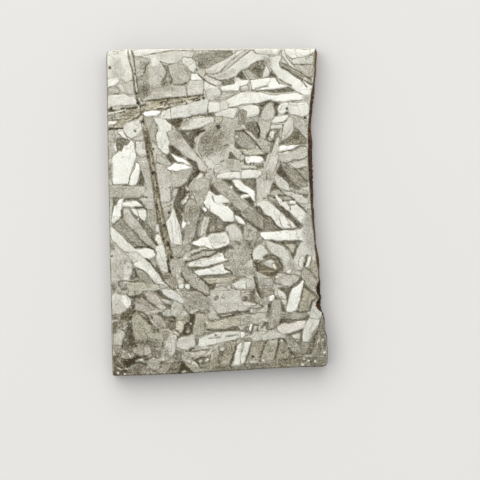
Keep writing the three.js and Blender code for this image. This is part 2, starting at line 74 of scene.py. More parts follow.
# The four sides as across,down pairs.
LEFT_LINE = "107.6,51.7 106.9,52.6 106.3,55 107.8,152 109,205 110,262 111,300 111.6,340 112.3,373 112.8,375.4"
BOTTOM_LINE = (
    "112.8,375.4 115,376.1 150,375.2 180,373.9 210,372.1 240,370.4 270,368.5 300,367.1 323,366.8 "
    "326,365.6 326.9,364"
)
TOP_LINE = "107.6,51.7 108.6,50.9 112,50 128,49 222,48.4 316,48.2"
CRUST_FRONT = (
    "314.8,52 314.8,66 313.6,85 311,95 309.5,112 308,130 308,160 309.6,186 312,218 315,243 316.2,261 "
    "318.6,272 318.8,281 316.6,287 316.8,292 319.6,297.4 317,301 316.4,306 318.6,309.6 322.2,312.4 "
    "324,320 324.6,331 326.8,337 327.4,346 327.4,360"
)
CRUST_WIDEST = (
    "317.4,52 316.8,70 315.6,85 314.2,98 313.2,111 311.6,124 313,140 313.1,160 313.8,190 315,218 "
    "316.6,243 319.4,256 320.4,270 321.2,283 321.6,290 321.7,297 321.8,302 322,306 322.6,309.6 "
    "323.6,312.4 325.2,320 325.6,331 327.6,337 328.1,346 328.1,360"
)
CRUST_END = (327.4, 362.5)

# Two hollows in the crust: middle, full within its core, and gone at its reach.
NOTCHES = ((289, 4, 8), (305.5, 3, 6.2))

# How far the crust has come out, and how far in the hollows, at heights in millimetres.
WALL_HEIGHTS = (0.1, 1.2, 1.9, 2.45, 2.88)
CRUST_REACH = (0.8, 1.0, 0.85, 0.55, 0.1)
NOTCH_REACH = (0.8, 0.9, 0.0, -0.1, 0.0)

# Lightness of each kind of metal, as it is seen, and how far it stands above the etched floor in mm: white,
# bright, light and middle plates, dark fields, black seams and pits. + and - are a step brighter or darker.
TONES = {
    "W+": 0.975, "W": 0.905, "B": 0.86, "L+": 0.825, "L": 0.775, "L-": 0.725, "M+": 0.69,
    "M": 0.64, "M-": 0.58, "D": 0.475, "K": 0.38, "X": 0.235,
}
STANDS = {"W": 0.1, "B": 0.09, "L": 0.075, "M": 0.05, "D": -0.03, "K": -0.06, "X": -0.06}

# Lightness of the ground between the plates and of a plate's seam, and how much darker a dark line is
# than its kind.
MATRIX_TONE = 0.73
SEAM_TONE = 0.42
LINE_DEEPER = 0.07

# Letters of the hues that a plate may lean to.
HUES = {"o": "olive", "t": "tan", "p": "violet", "b": "cool", "r": "rust"}

# Metal plates and the fields between them, one to a line, in the order in which they are laid: kind, hue
# letter, width of the edge where it is soft, then the corners. A line that starts with a space goes on.
PLATES = """\
L+ 106,51 129,50 131,61 133,79 126,83 119,77 107,79
W 107,79 117,77 120,81 115,85 107,88
M 107,88 116,86 121,93 109,95
L+ 117,85 124,83 126,91 124,93 122,92
L- 121,83 126,83 133,80 135,93 132,95 125,93 124,87
L+ 107,95 125,94 131,97 134,97 137,100 138,105 125,107 107,112
M+ 133,57 140,56 150,58 152,60 147,63 145,67 144,75 139,77 136,76
B 133,50 175,49 162,52 134,57
L 134,57 145,55 162,53 176,50 196,51 195,54 192,58 184,57 178,63 168,64 161,62 158,59 150,59 140,57
L- 151,60 158,59 161,63 164,65 166,72 165,76 162,80 161,85 158,87 150,86 145,80 144,76 145,69
M- 136,77 143,77 150,86 157,87 141,101 140,93
D 163,65 168,66 168,71 173,78 173,82 172,84 162,87 161,86 163,80 166,75 166,71
M+ 168,65 177,63 183,65 187,68 191,73 190,79 187,84 184,85 173,84 173,80 169,71
L+ 182,60 184,57 192,58 196,62 197,68 194,73 190,71 183,64
L- 141,101 150,93 157,88 172,86 186,86 187,97 160,101
L 187,86 190,80 203,80 204,88 203,95 199,96 188,97
W 191,73.5 198,74 203,80 190.5,80.5
M- 194,58 198,54 216,51 232,51 233,55 210,67 204,69 199,64 198,60 196,61
M- 200,55 231,52 231,56 214,57 200,59
M- 199,61.5 212,60 205,66 203,66
L+ 204,69 210,67 226,59 238,51 247,49 245,51 232,59 220,71 214,74 206,73
L 220,73 232,60 240,54 248,49 252,49 235,62 222,73
L+ 208,76 221,73 228,69 236,62 252,50 256,54 268,55 270,57 266,60 258,61 253,64 249,68 242,70 236,76 228,79
 219,80 212,78
K 236,76 242,71 247,80 241,79
D 218,81 228,79 234,77 234,84 229,85 225,87 222,85
D 247,69 253,64 257,62 266,60 267,64 262,78 259,78 255,74
M 244,70 249,70 258,79 250,80 247,76
L+ 266,65 268,68 270,73 268,77 262,78 263,73
K 271,71 273,74 278,76 275,77.5 272,76.5 269,77.5
W 250,80 268,78 276,78 280,84 290,86 284,88 270,90 256,91 252,89
D 268,91.3 274,90.4 290,87.5 295,91 287,92.3 272,92.8
W 226,100 241,92 252,92 262,93 272,95 297,93 304,95 309,98 300,100 282,102 275,102 270,100 266,102 262,103
 240,105 236,107 229,108 228,104 226,101
L 240,86 247,85 249,87 248.5,90 241,91
W 222,86 234,84 238,77 241,80 248,80 250,82 247,85 240,86 239,91 222,91 220,88
M+ 222,92 230,92 236,93 228,98 220,100
Lb 212,87 218,88 221,92 220,98 214,101 207,100 206,92
L 256,48 279,48 281,51 278,55 262,54.5 256,53.5 253,50
W 285,49 315,49 315,53 303,57 292,59 285,53
L 292,59 314,55 313,64 293,64
L- 294,65 303,65 314,64 313,76 309,78 295,67
L+ 284,49 286,57 296,68 309,77 311,80 297,72 290,66 281,55 282,50
B 270,57 278,55 282,57 279,63 282,67 289,72 296,76 300,79 313,86 310,97 297,92 290,86 283,84 271,69 268,64
 268,60
B 204,80 216,87 212,87 206,92 204,88
L 205,73 212,78 222,82 220,86 208,82 203,78
W+ 143.5,112 146,111 158,110.5 162,111 160,114 157,116 146,116.3 143,115
L+ 126,123 133,121 140,120 143,128 141,132 137,136 131,139 128,137 124,132 123,129 123,126
W 117,131 123,131 128,140 124,139 117,133
M+ 108,130 115,130 113,133 116,136 114,139 116,154 112,157 108,158
D 116,139 119,138 124,138 127,140 130,141 128,146 125,146 122,151 120,151 118,150 117,154
L 136,141 143,141 143,148 147,150 147,155 142,157 138,156 136,152
M+ 131,139 136,137 142,130 144,134 144,140 136,141
M 145,118 153,117 155,121 157,127 157,131 155,134 156,141 158,146 150,140 146,135 145,128
B 154,118 162,118 167,120 171,124 172,127 171,131 167,132 168,138 170,142 169,147 170,152 168,156 163,153
 158,148 156,138 156,134 158,131 158,126 155,121
L+ 162,111 171,108 171,119 163,119 158,117 161,115
L+b 171,108 187,104 205,98 209,100 209,103 207,112 204,114 197,115 183,119 171,119
Kt 167,121 172,119 178,118 187,118 184,121 182,125 177,130 171,124
L+ 188,119 192,118 203,117 213,117 215,119 214,122 200,128 191,130 178,130 183,127 185,123
K 175.5,130.5 190,131 197,129 204,128 199,131 197,136 194,138 194,149 192,149 180,135
M- 185,132.5 191,131.5 190,135 187,136
K 207,114 214,112.5 214.5,116 209,116.8
L- 171,131 172,129 177,131 183,137 194,152 207,166 206,172 199,171 196,163 184,155 175,147 170,144 169,137
 167,132
K 169,146 172,145 177,149 185,157 178,156 171,153
M4 198,137 204,130 212,124 220,119 236,118 242,124 244,130 235,132 234,140 230,145 224,150 221,158 222,165
 214,170 206,168 195,150 196,142
L 198,137 204,130 206,131 200,139 198,150 203,159 200,158 195,150 196,142
B 210,102 219,102 220,104 220,111 213,113 208,113 208,108 209,103
L+ 220,102 222,101 226,101 228,104 229,108 220,111
L+ 215,113 229,108 236,108 238,109 236,115 234,119 222,116 216,119 215,116
M+t 215,119 217,116 222,116.5 223.5,119 220,123 216,123
K 217,125 220,125 220,128 217,128
B 238,108 250,105 258,105 260,110 259,114 256,116 247,118 246,113 242,109 240,110
M- 240,111 243,109 247,112 246,119 244,124 238,124 238,118 239,113
M 247,118 258,116 259,120 257,122 250,122 243,124
K 252,104 262,103 270,100 272,101 268,103 264,107 262,111 260,117 259,117 261,108 260,106
L- 270,102 273,105 275,111 275,115 272,120 265,121 261,119 261,115 263,110 266,105
M+ 261,120 266,121 271,120 271,126 267,139 263,139 260,137 258,126 259,121
D 245,125 251,123 257.5,123.5 259.5,130 260,137.5 257,137 251,132 246,128
M- 235,132 243,132 247,135 252,140 256,145 255,149 247,149 240,147 236,143 234,138
M+ 256,141 259,138 267,140 270,145 271,150 268,154 262,150 258,146
K 235,141 237,144 242,148 249,149 238,149 235,147
L-o 240,150 258,148.5 264,152 266,154 246,155.5 242,152.5
W 279,105 283,103 288,102 289,105 287,108 287,111 284,114 280,114 278,111 277,108
K 271,101 280,104 277,109 278,113 278,116 275,116 276,112 273,103
K 287,111 288.5,113.5 286,115 283,114.8
B 289,102 307,102 309,105 310,111 307,115 303,117 296,115 291,115 289,112 288,108
W 272,121 275,117 285,115 290,115 286,120 283,122 272,123
M+ 292,117 297,116 302,118 305,121 309,122 309,142 295,127
L 289,117 292,118 294,122 294,128 293,132 290,136 281,142 281,138 283,126
Do 295,127 298,129 306,141 307,144 297,144 280,146 280,143 290,137 294,132
W+ 278.5,146.5 284,145.3 292,144.7 305,145 300,146.3 291,150 284,151 278,151
L- 279,153 293,151 298,148 304,148 308,150 308,157 300,160 290,162 280,163 278,160
B 304,147 307,147.5 307,150.5 305,150
L 271,124.5 283,124 282,128.5 277,129.5 269.5,129.5
W+ 270,131 277,130 274,139 272,139 272,135 269,137
B 267,139.5 271,139.5 272,141 268,141.5
L 279,134 280,140 278,152 279,157 276,167 271,178 263,180 265,170 271,154 274,144
D 277,131 280,130 278,136 275,142 271,154 270,150 272,143 275,137
W 111,163 112,158 116,154 119,150.5 121,151.5 124,146 127.5,145 129,143 131.5,139.5 134.5,143 135,150
 136.5,156 134.8,163 131.8,170 129.8,178 128,184.5 112.5,184.5
W 136,162 140,164 140,174 137,185 132,186 128,185 130,181 131,176 135,167
M+ 137,159 139,158 148,156 150,160 152,180 152,188 154,196 156,212 147,212 145,206 140,202 139,200 140,198
 143,197 145,191 147,189 144,180 142,176 140,165 138,163 137,161
K 141,170 144,179 144,186 137,186 139,183 140,179 140,175
M+ 109,185 127,185 128,186 144,186 146,188 145,191 143,194 139,198 110,198 109,190
D 113,198 120,198 118,200 117,204 112,212 113,206
W+ 120,199 124,198 124,200 122,206 121,212 113,212 115,209 116,205
K 125,199 139,198 139,200 142,202 145,206 145,207 142,206 140,203 137,201 130,201 125,200 124,203 123,203
W 123.5,202.5 132,200.8 137,200.8 139.5,202.5 143.5,206.5 130,207.5 123,207 122,205
M- 122.5,208.5 130,209 130,212 123,212
K 130,209.5 131.5,210 132,212 130.5,212
K 121,209.5 122.3,210 122.5,212 120.5,212
L-3 136,188 145,188 144,194 137,194
M+ 156,154 161,156 170,161 172,165 167,166 165,167 158,162 156,162
K 166,157 170,153 176,162 173,164 170,162
W+ 170,153 179,157 183,158 187,161 192,166 188,165 184,163 177,162
W+ 167,168 171,166 175,163 180,164 185,164 192,168 186,170 182,170 177,172 173,171 170,171
K 186,158 188,158 191,160 196,162 199,170 201,172 192,180 188,185 188,187 187,187 187,184 185,184 191,176
 193,170 193,167 190,162 187,160
K 185,184 181,187 176,187 179,189 174,202 174,206 176,212 183,212 183,207 186,204 184,204 182,206 181,203
 182,200 189,192 186,190 185,187 187,184
M+ 177,173 185,172 192,170 192,173 188,181 180,187 175,187 173,189 171,178 171,173
L- 155,163 165,165 168,170 171,172 171,178 172,186 170,187 171,200 170,202 162,203 160,200 158,190
L- 173,190.5 176,188.5 178.5,189 177.5,193 175.5,196.5 174,197 172.5,196.5 172,193.5
W 172,212 172.5,208 173.5,207 174.5,209 175,212
L+ 200,173 203,174 203,177 200,179 195,181 189,187 190,183 193,181 197,177
M+ 189,187 195,181 200,178 204,177 209,179 210,181 210,184 209,189 205,195 199,191 192,191 190,190
M- 187,190 190,190.5 192,191.5 191.5,195 190,197 189,194 189.5,192 187.5,191.5
M 192,192 199,192 199,194 203,195 205,205 202,206 200,210 200,212 184,212 184,207 187,204 188,200 190,199
 193,200 196,202 196,203
B 183,202 187,196 189,195 189,197 187,200 187,203 182,206
W 208,192 210,191 215,195 222,195 228,199 230,201 230,202 226,203 222,203 224,205 227,206 234,212 211,212
 207,209 203,202 205,200
W+ 201.8,209.5 204.5,206.8 207.2,209.5 206.5,212.5 203,212.5
K 201.3,209.5 202.3,209.5 203.5,212 201.5,212
K 210,184 212,185 213,187 221,194 219,195 216,195 213,193 210,190 209,190 210,187
L- 211,179 216,178.5 216,188 211.5,183
K 230,152 231,152 233,155 237,159 240,160 236,159 228,159 229,157
W+ 245,157 257,155 261,156 263,158 264,160 261,163 251,163 249,164 246,164 245,160
K 258,155 268,153 265,162 264,159 262,157
D 255,165.2 261,165 263.5,163.3 263.5,168.5 259,168.3
L 241,165 255,165.5 258,168.7 241,169.3
B 217,174 231,172 240,172 240,179 220,179 215,178
B 241,172 243,170 260,170 262,172 261,175 258,178 241,179
K 222,180 232,180 233,184 235,187 238,190 244,192 248,194 242,195 241,196 233,188 231,187 230,185
W 232,180 239,180 242,182 245,185 255,191 255,202 254,202 251,199 248,194 241,191 236,187
D 240,179 255,179 256,184 255,191 248,186 244,184
K 244,199 250,197 254,203 254,206 253,207 251,206 248,202
D 255.5,207 259,206 263,212 257.5,212 255,208.5
W 254.5,203 256,202.5 256.5,204.5 255.5,206.5 253.8,206.5
M 212,184 216,182 222,181 227,184 234,190 243,200 247,203 251,207 255,209 257,212 240,212 238,209 234,206
 230,200 227,197 218,192 216,189 213,186
D 225,204 229,204 232,203 233,205 242,212 234,212 231,209 228,207
K 280,164 282,166 284,170 290,179 295,185 299,187 301,189 294,188 291,187 287,181 276,173 277,170 279,167
L 289,164 307,159 308,166 296,169 293,168
M- 281,164 286,165 290,168 293,169 300,174 306,182 308,186 303,187 298,186 294,183
M- 296,169 301,168 308,168 309,175 309,181 307,181 303,177 300,173
D 299,168.5 303,168.5 303,170.2 300,170.2
L 274,176 276,175 280,176 287,182 289,185 290,191 280,189 277,186 274,179
K 272,184 274,182 277,187 280,190 276,190 272,191 270,193 272,187
M+ 272,191 276,190.3 280,190.5 283.5,192.5 285.5,194.8 277,195.3 272,194.8 268.5,195.5
L 284,192 290,191 296,194 302,195 308,198 309,203 304,204 299,203 286,195
M+ 290,190 296,189 301,189 308,191 309,194.5 303,194.5 293,191.5
D 302,194.7 308,195 308,196.5 306,198 303.5,196.5
D 268,195 272.5,195.5 273,196.8 269.5,197 268.5,198.3 267.5,197
W 273,196 277,195 283,201 287,202 291,208 290,212 289,212 282,207 279,204 276,199
K 277.5,195.5 280,194.8 286,194.7 287,195.8 279,196.6
M 281,197.5 287,196.3 291,198 293,199.5 288,200.3 284,200 282,199
W+ 289,202 291,201 295,201 297,203 296,204 290,204
W 291,205.5 296,205 300,206.5 302.5,209.5 303.5,212 290,212
D 271,202 277,203 281,208 288,212 281,212 277,209 273,203
B 256,204 264,200 268,201 275,206 277,210 280,212 264,212 260,206 257,206
M+ 268,199 274,198.3 276,200 276.5,202 268,200
D 267.5,171 270,172 270,175 267.5,174.5
W 114,206 122,206 122,208 121,211 121,216 120,218 117,221 112,224 111,223 111,220
K 121,210 123,211 123,217 122,219 120,218 118,220 117,222 116,221 119,219 121,216
M+ 123,209 130,209 133,215 136,219 139,221 140,224 143,229 146,231 148,236 155,242 157,245 155,248 153,248
 148,246 140,240 139,236 133,230 130,228 124,222 123,219
W 131,209 136,209 140,216 138,217 133,214
B 138,210 146,210 147,216 145,223 144,221 142,220 140,218 138,212
D 130,210 132,211 134,214 137,216 138,218 136,219 135,217 132,214
K 140,218.5 143.5,221.5 144.2,223.5 144,225 145.5,229.5 143,228 140.5,225 139.3,222
D 145,224 148,225 151,228 153,231 155,236 155,240 158,245 156,245 154,241 149,236 145,227
M- 112,225 121,219 123,220 124,222 131,229 134,231 137,234 139,239 142,242 149,247 144,247 138,248 134,248
 118,231 114,228
B 110,226 112,226 123,237 134,250 135,253 130,252 125,252 119,247 117,244 113,241 111,237 110,232
M 110.5,240 113,241 114,244 112,248 110.5,246
M 123,257.5 125,255.5 126.5,257 126,258.5 123.5,258.7
W 135,250 147,248 154,250 156,255 155,257 149,259 146,259 143,258 136,252
M- 153,259 156,257 155,260 156,264 158,266 155,266 149,261 151,259
B 157,245 160,246 164,246 166,251 167,258 167,266 158,266 156,257 157,254 155,250 155,248
W 156,235 158,234 161,237 165,245 158,245 157,242 155,240
M- 147,210 157,208 157,214 158,219 160,224 160,230 158,234 155,234 150,227 146,223 147,219
M 163,208 169,206 171,208 169,217 167,219 166,222 163,218 162,213
B 173,207 175,210 176,215 180,225 182,236 182,245 176,245 172,244 168,235 166,225 166,222 169,218 171,214
K 175,206 183,206 182,212 181,214 183,218 181,224 182,230 181,226 176,214 175,210
L- 181,214 183.5,213.5 184,218 185.5,223 183,222 182.5,217
W+ 183.3,219 185,222 186.5,223 186,225.5 183.5,229.5 182.5,228 181.7,224.5
D 184.8,230 184,238.5 182.7,240 182,232
M 185,206 201,206 201,209 198,225 196,230 194,239 192,242 191,245 191,250 188,252 186,252 184,255 180,258
 174,256 171,250 171,246 175,246 182,245 183,241 184,240 185,232 187,225 187,223 185,218 184,212
D 202,209 206,216 204,216 199,227 198,232 198,236 200,238 197,240 193,241 195,237 196,230 199,222 200,215
K 201.3,209.3 203,210.5 206.5,215.7 205,215.5 203,213.5
K 193,241 195,237.8 200,238 194,241.2
M+ 204,216 207,216 209,219 207,229 205,233 202,236 199,237 201,226
D 206,212 209,211 216,216 224,224 228,224 229,225 226,227 225,232 219,232 212,233 206,237 209,219
M- 209,225 215,225 215,231 209.5,232
M- 217,224.5 223,225 223.5,229.5 217,229
K 223.5,222.5 230,222.5 233,221.8 234,222.8 228,225.5 225.5,227.5 224,226
W 192,243 193,242 203,237 207,237 214,233 219,233 225,232 227,234 230,241 230,243 226,246 217,249 211,249
 205,247 200,247 193,245
D 191.5,244.5 194,246 199.5,247.5 197,249 194,249 191.5,250.5 190,250.5
L 194,249.3 198,249 201,247.5 206,247.5 209,249 193,254.5 191.5,253.5 191,251
M 193,256 197,254 206,252 206,257 191,260 190,259
M+ 206,251.5 212,250.8 216,251 210,256 206,256.7
K 186,260.5 189,261.5 184.5,266
M+ 171,260 176,260 182,259 185,262 184.5,266 170,266
W+ 188,265 191,262 197,260 203,259 210,259 213,257 216,256 219,254 222,253 224,255 225,258 228,260 228,261
 219,263 214,265 208,266 188,266
W 235,215 241,217 244,219 246,224 245,225 239,223 235,218
W 210,206 228,206 233,211 234,213 234,218 235,221 232,222 224,222 219,217 210,211
K 235,211 241,211 241,214 242,216 248,220 250,222 264,231 259,232 248,222 246,224 245,221 240,217 235,215
 234,213
K 235,221 244,226 246,225 244,228 243,231 243,235 240,227 237,224 235,223
L 226,227 229,225 233,224 236,225 239,228 241,231 243,239 242,243 236,241 232,242 230,240 229,237 229,235
 228,232 225,231
D 235,242 238,241.5 240.5,243 241,245 238,245.5 236,244.5
M+ 244,226 250,224 253,227 256,229 258,232 257,236 257,239 254,241 250,241 245,240 244,234
M 243,240 250,242 255,241 257,243 253,250 251,258 247,261 243,266 224,266 228,259 224,255 225,251 230,249
 234,249 232,244 235,243 239,246 242,244
K 226,246 231,245 233,249 229,249 226,250 224,255 223,253 221,251 217,250
W 216,265.5 223.5,263 224.3,266 216,266
L+ 259,245 263,245 265,246 266,249 269,253 265,257 263,260 253,260 252,256 253,252 255,249
M- 255,240 259,240 262,238 263,240 262,243 258,244 256,246 255,244
M- 257,231.5 260,232 260.5,235 258,239 257,236
M- 249,206 254,208 263,220 265,224 265,231 262,230 258,227 255,226 248,219 246,216 242,213
K 253,206 259,206 261,210 264,213 270,216 270,218 266,217 264,218 259,213 257,209
D 264,217 271,217 276,226 279,228 282,229 280,231 265,231 264,224
K 274.5,228.8 281.5,229.5 279,231 275,231
B 260,206 275,206 281,212 285,215 295,225 297,228 293,228 291,229 282,229 276,225 274,221 271,217 266,215
 264,213
W 281,213 285,216 292,228 283,228 281,224 279,218
K 276,206 282,206 286,210 288,211 294,219 304,227 302,228 298,228 285,215 278,209
B 289,212 291,209 291,206 299,206 305,212 308,214 309,216 308,219 310,222 310,226 306,228 305,226 298,221
 292,214
D 307.5,208.5 309.5,208.5 310,213 308.5,214.5 306.5,213
W 260,232 272,232 284,230 297,230 300,229 304,229 309,228 311,229 313,232 311,241 308,242 296,240 290,241
 277,241 272,240 264,240 263,238 260,236
K 270,240 279,242 285,241 300,241 301,242 299,244 297,250 293,259 290,250 283,245 272,242
M+t 284,244 296,244 296,246 294,253 292,253 288,247
L 265,241 269,241 280,245 284,247 288,250 291,259 290,262 291,266 283,266 283,260 272,254 267,247
L 297,249 301,243 303,242 308,243 311,243 313,245 314,250 314,255 307,255 306,257 306,260 304,266 292,266
 294,258 296,254
L+ 308.5,257 311,256 312,258 309.5,264 308,266 305.5,266
L- 110,239 113,241 117,245 119,248 122,251 124,252 129,258 133,263 133,269 132,273 128,281 111,281
Mb 111,281 128,281 129,283 126,288 129,290 129,293 122,295 113,290 111,287
D 121,288.5 127,288 128,289 126,290 122,290
L 111,287 116,291 118,294 122,295 126,295 129,297 131,300 131,304 129,308 126,311 122,313 121,317 121,320
 112,320
W 122,295 126,295 129,297 131,300 131,304 129,308 127,309 120,300
K 134,268 137,274 140,278 136,278 131,280 129,282 128,281 131,277
M- 134.5,273.5 136,277 132.5,278.5 133.3,275.5
M- 134,267 143,271 147,274 152,285 150,287 141,280 138,276
L- 132,279.5 138,279 140,279.8 136,280.3
M+o 127,283 132,283 138,282 145,283 152,285 155,287 157,290 150,291 143,291 143,293 134,296 130,296 127,295
 129,291 127,287
B 133,265 135,262 140,260 145,260 152,266 168,286 167,289 162,289 158,284 155,283 152,280 146,272 141,269
 136,267
L- 158,284 164,284.5 167,288 160,289
K 145,260 150,262 156,269 159,271 162,274 162,277 160,276 154,268
M+ 149,260 155,260 156,264 160,271 157,269 153,265 150,263
L+ 156,260 168,260 169,266 169,272 165,273 161,271 158,263
K 156,266 161,271 163,278 165,281 163,281 161,276 157,272 156,269
M+ 170,262 176,260 183,262 185,266 183,268 181,273 181,277 178,278 177,277 172,277 170,268
B 176,272 180,277 176.5,279
M-p 163,274 170,274 172,278 176,276 176,280 178,288 175,290 168,285 165,282 163,278
D 164,276 169,276 170,278 166,279
Lt 177,279 180,279 183,281 184,283 184,288 182,289 179,289 177,282
B 178,284 184.3,283 184.3,288 182,289 178.5,289.3
M 181.5,266 187,266.5 192,271 196.5,275.5 201,278.5 205,283 209,287.5 209.5,293 207,295.5
 201,293.5 195,289.5 189,283 184.5,278 182,273
K 184,280.5 187,281.5 189,284 185,284
W 184.8,286.5 186,284.5 188,284 190,285.5 190,288 189,290 185.5,288
K 190.3,285 194,288.5 197,289.5 196.5,290.7 192,291 190,290.5
B 187,266 190,262 204,260 224,260 228,261 224,262 214,266 210,266 204,267 189,267
K 187,267 191,267.6 198,267.5 214,265.8 212,267 206,267.7 197,269.8 189,268.8
K 191,269.5 194,270 192.5,273
W 194,271 197,270 214,267 224,263 224,266 225,269 228,271 231,272 230,273 218,275 206,275 200,276 197,275
 195,273
D 200,278 203,276 216,276 231,273 233,276 246,276 246,278 240,278 238,281 234,283 232,283 232,281 235,280
 237,278 236,277 232,276 226,276 223,277 217,277 210,278 204,278 203,280
M+t 203,278.5 230,277 235,277.7 236,279 233,280.8 228,282 213,284 209,283.8 203.5,280
K 204,281 206,283 209,284 214,284 216,286 214,289 212,290 210,290 209,287 206,284
Mb 216,283.5 230,283 231,284 232,288 228,289 225,287 222,286 214.5,288
L- 231,286 233,283 238,282 240,279 243,278 248,278 252,280 254,278 256,279 256,283 255,287 253,289 234,289
 232,288
B 232,284 240,281 246,281 246,289 236,289
M 185,290 190,292 199,293 208,297 210,299 196,301 188,300 184,297 182,293 180,291
L+b 161,291 163,289 172,289 179,294 182,297 185,302 183,304 180,303 177,301 171,299 164,295
K 160,290 163,295 170,299 172,301 161,298 161,297 156,293 152,292
M+p 150,291 152,293 157,295 160,298 161,301 162,302 167,304 163,304 160,305 155,305 150,302 146,298 144,295
 143,292
L- 161,298.5 166,299.3 171,301.3 171,303.5 167,304 162.5,302
K 141,293 143,294 146,299 160,309 154,307 151,304 143,298 140,297
K 131,296 136,295 141,295 141,298 137,299 133,303 135,305 133,310 132,309 131,302 133,299 131,298
Mp 136,300 141,299 146,301 155,308 155,309 153,310 150,307 136,301
Mp 135,302 146,306 151,309 150,312 145,312 135,310
L-p 135,310 145,312 152,310 165,309.5 165,311 157,313.8 152,314 148,316 144,313
Kt 127,310 130,308 132,310 135,310 136,312 133,314 131,317 131,320 120,320 122,314 126,312
K 121.2,318 121.5,315 123,313.3 123.5,314.5 122.3,318
M- 133,315 136,312 139,314 142,318 145,320 132,320 132,317
K 137,311 144,313 149,318 150,320 145,320 144,319 146,316 138,313 143,319 141,319
M+o 145,283 160,285 159,289 150,289.5
L- 170,302 176,301 184,306 180,315 176,318 172,317 170,312 171,305
K 164,303.7 166,304.8 170.5,304.7 170.7,309 169,309.3
L+ 162,309 168,309 165,310.3 161.5,310.3
M+ 160,303 166,306 167,309 161,310 158,308.5 155.5,305.5
K 157,314 160,312 162,313 163,316 165,318 168,319 165,320 163,319 161,316
K 165,317 168,316 174,316.5 176,318.5 174,320
M 184,303 188,304 192,314 190,315 183,309
M- 193,301 200,301 200,303.5 197,304 193,303.5
M 186,301 192,302 196,305 210,308 200,311 193,309 188,305
L- 189,311 194.5,308.5 200,309.5 199,311 196,312 193,314.5 190.5,314.5
D 195,312.5 198,311.5 203,312.5 208,311 210,312 206,314.5 200,314 197,314.5
W 204.5,311.5 207.5,311 207,312.5 205,312.8
K 189.7,315 195,315 195.2,320 189.5,320
M+ 195.5,315.5 205,315.5 208,316 208,320 195.5,320
L- 210,290 240,290 250,297 256,303 262,307 252,311 240,312 232,312 219,314 216,312 212,305 210,300
D 214.5,299 216,296.5 218,296 219,298.5 217,300.5 214.5,300.5
M+p 240,290 255,289 256,291 256,295 255,301 245,301 241,297
L+ 241,291 245,290.5 246,292.3 242,293
L+ 247,294.5 250,293.8 249.5,295.3
L+ 241,296.5 243.5,296 243,300 241.5,300
D 242,298 245,296.5 248,298 246,300.5 243,300.5
L+ 242,301.5 250,302 256,303.5 257,305 250,306 243,305.5
M 247,308 251,307.5 260,309.5 255,313.5 250,313.5
K 244.5,311.5 247,310.5 249.5,310.3 249,313.5 244.5,314
W 249.7,312 251,309.3 253.2,308.7 252.3,312.5 250.5,313.3
K 216,314 221,315 226,313 238,311 244,312 246,313 240,314 234,316 228,317 221,319
L- 220,315.5 226,313.8 232,312.8 234,313 231,314.8 225,316.3 221,316.8
K 273.5,276.5 275,278 275.5,280 274,279
Mb 260,278 272,278 274,283 272,288 263,289 260,285
M- 273,280 280,280 282,284 275,284
M- 262,289 275,289 274,294 268,296 263,295
M+ 262,296 267,297 268,303 263,303.5 261,300
Mo 255.5,296 259,298 260,304 256,302
K 268,303 274,301 276,297 277,298 273,307 271,313 269,311 268,307
W 268.5,299 269.5,296 272,295 275,295 274.5,298 272.5,302 269,302
L- 274,303 277,299 281,300 282,304 282,311 278,312 273,312 273,307
K 282.3,305 284,305 285,307.5 285.8,313.5 283,312 282.2,309
Lp 280,299 283,299 288,298 288,303 286,306 285,306
L+ 278,291 280,290 285,294 287,297 287,300 283,299 280,299 278,298
W 279,297 282,296.5 282,298.3 280,298.5
W 288,301 292,289 296,287 300,284 303,279 304,281 304,285 302,294 300,300 298,309 296,311 290,313 286,312
 286,310 288,304
K 278,288 289,288 291,286 298,282 302,277 305,279 303,279 299,284 292,289 290,292 288,300 287,300 287,296
 285,293
D 282,288.5 289,288.3 288.3,292 287,294.3
M+ 275,281 280,277 286,275 295,275 300,277 299,281 295,284 290,286 286,286 281,284 277,284
M+ 283,271 288,270.5 302,277 296,275 288,275 284,273
W 286,273 287,271 290,270 292,271 291,273.5 288,274
W 304,266 303,269 300,271.5 298.5,272 302,267
L 292,260 305,260 304,265 302,268 299,270 294,270 292,266
L+ 307,260 310,260 309,265 307.5,268 305.5,267
M 301,272 304,269 308,270 314,278 318,281 318,290 316,293 312,291 308,287 305,283 305,280 302,278
M-t 310,265 313,260 317,260 319,265 319,277 317,278 311,271 310,268
Ko 304,284 309,289 318,296 317,297 313,294 309,292 304,287
Mt 304,288 318,298 318,299 315,300 312,302 310,310 300,312 298,311 301,301 302,295
Lb 315.8,300.5 316.5,304 318,309 320.5,311 323,313.5 320.7,319 309,319 310.5,311 312.5,303.5
K 306,318.3 309.5,316.5 308.5,319.5 306,320
M 293,313 308,313.5 309,316.5 305,318.5 298,320 290,320 288,314
M- 263,313 290,314 290,320 263,320
M 112,314 121,314 121,319 112,320
M-o 113,322 118,320 122,320 123,322 122,326 119,329 117,329 114,327 113,325
D 114,325.5 118,325.5 119,328 115,328.5
L- 113,330 118,328.5 121,329 124,331 125,334 125,337 123,341 122,345 113.3,345
M- 113.3,345 122,345 122,356 118,356 116,354 114,350
M-p 122.5,320 127.5,320.5 129,322 127.5,324.5 124,326.5 122.5,329 122,325
K 127,325 129,323 131,323 131,326 133,337 137,347 130,350 128,349 127,345 128,340 126,338 126,330
X 131,323 131,327 133,332 133,337 135,344 138,347 136,347 132,340 130,328 130,324
Dp 123.5,341 127,340 127.5,349.5 126,350.5 123.5,350 123,345
L- 124.8,339.3 127,339 127,341 125,341.5
Mo 131,322 132,318 134,315 138,314 141,316 144,320 158,330 162,331 168,331 170,333 166,340 162,342 160,340
 150,339 135,341 133,336 133,331
D5 135,341 150,340 163,342 165,344 163,353 160,357 155,358 152,357 151,352 152,349 147,346 138,346 136,344
K 140,314 145,314 147,318 156,327 160,328 159,329 152,326 148,323 146,320 143,318
Mp 151,315 157,314 161,317 167,325 167,327 165,329 162,329 158,327 155,324 150,317
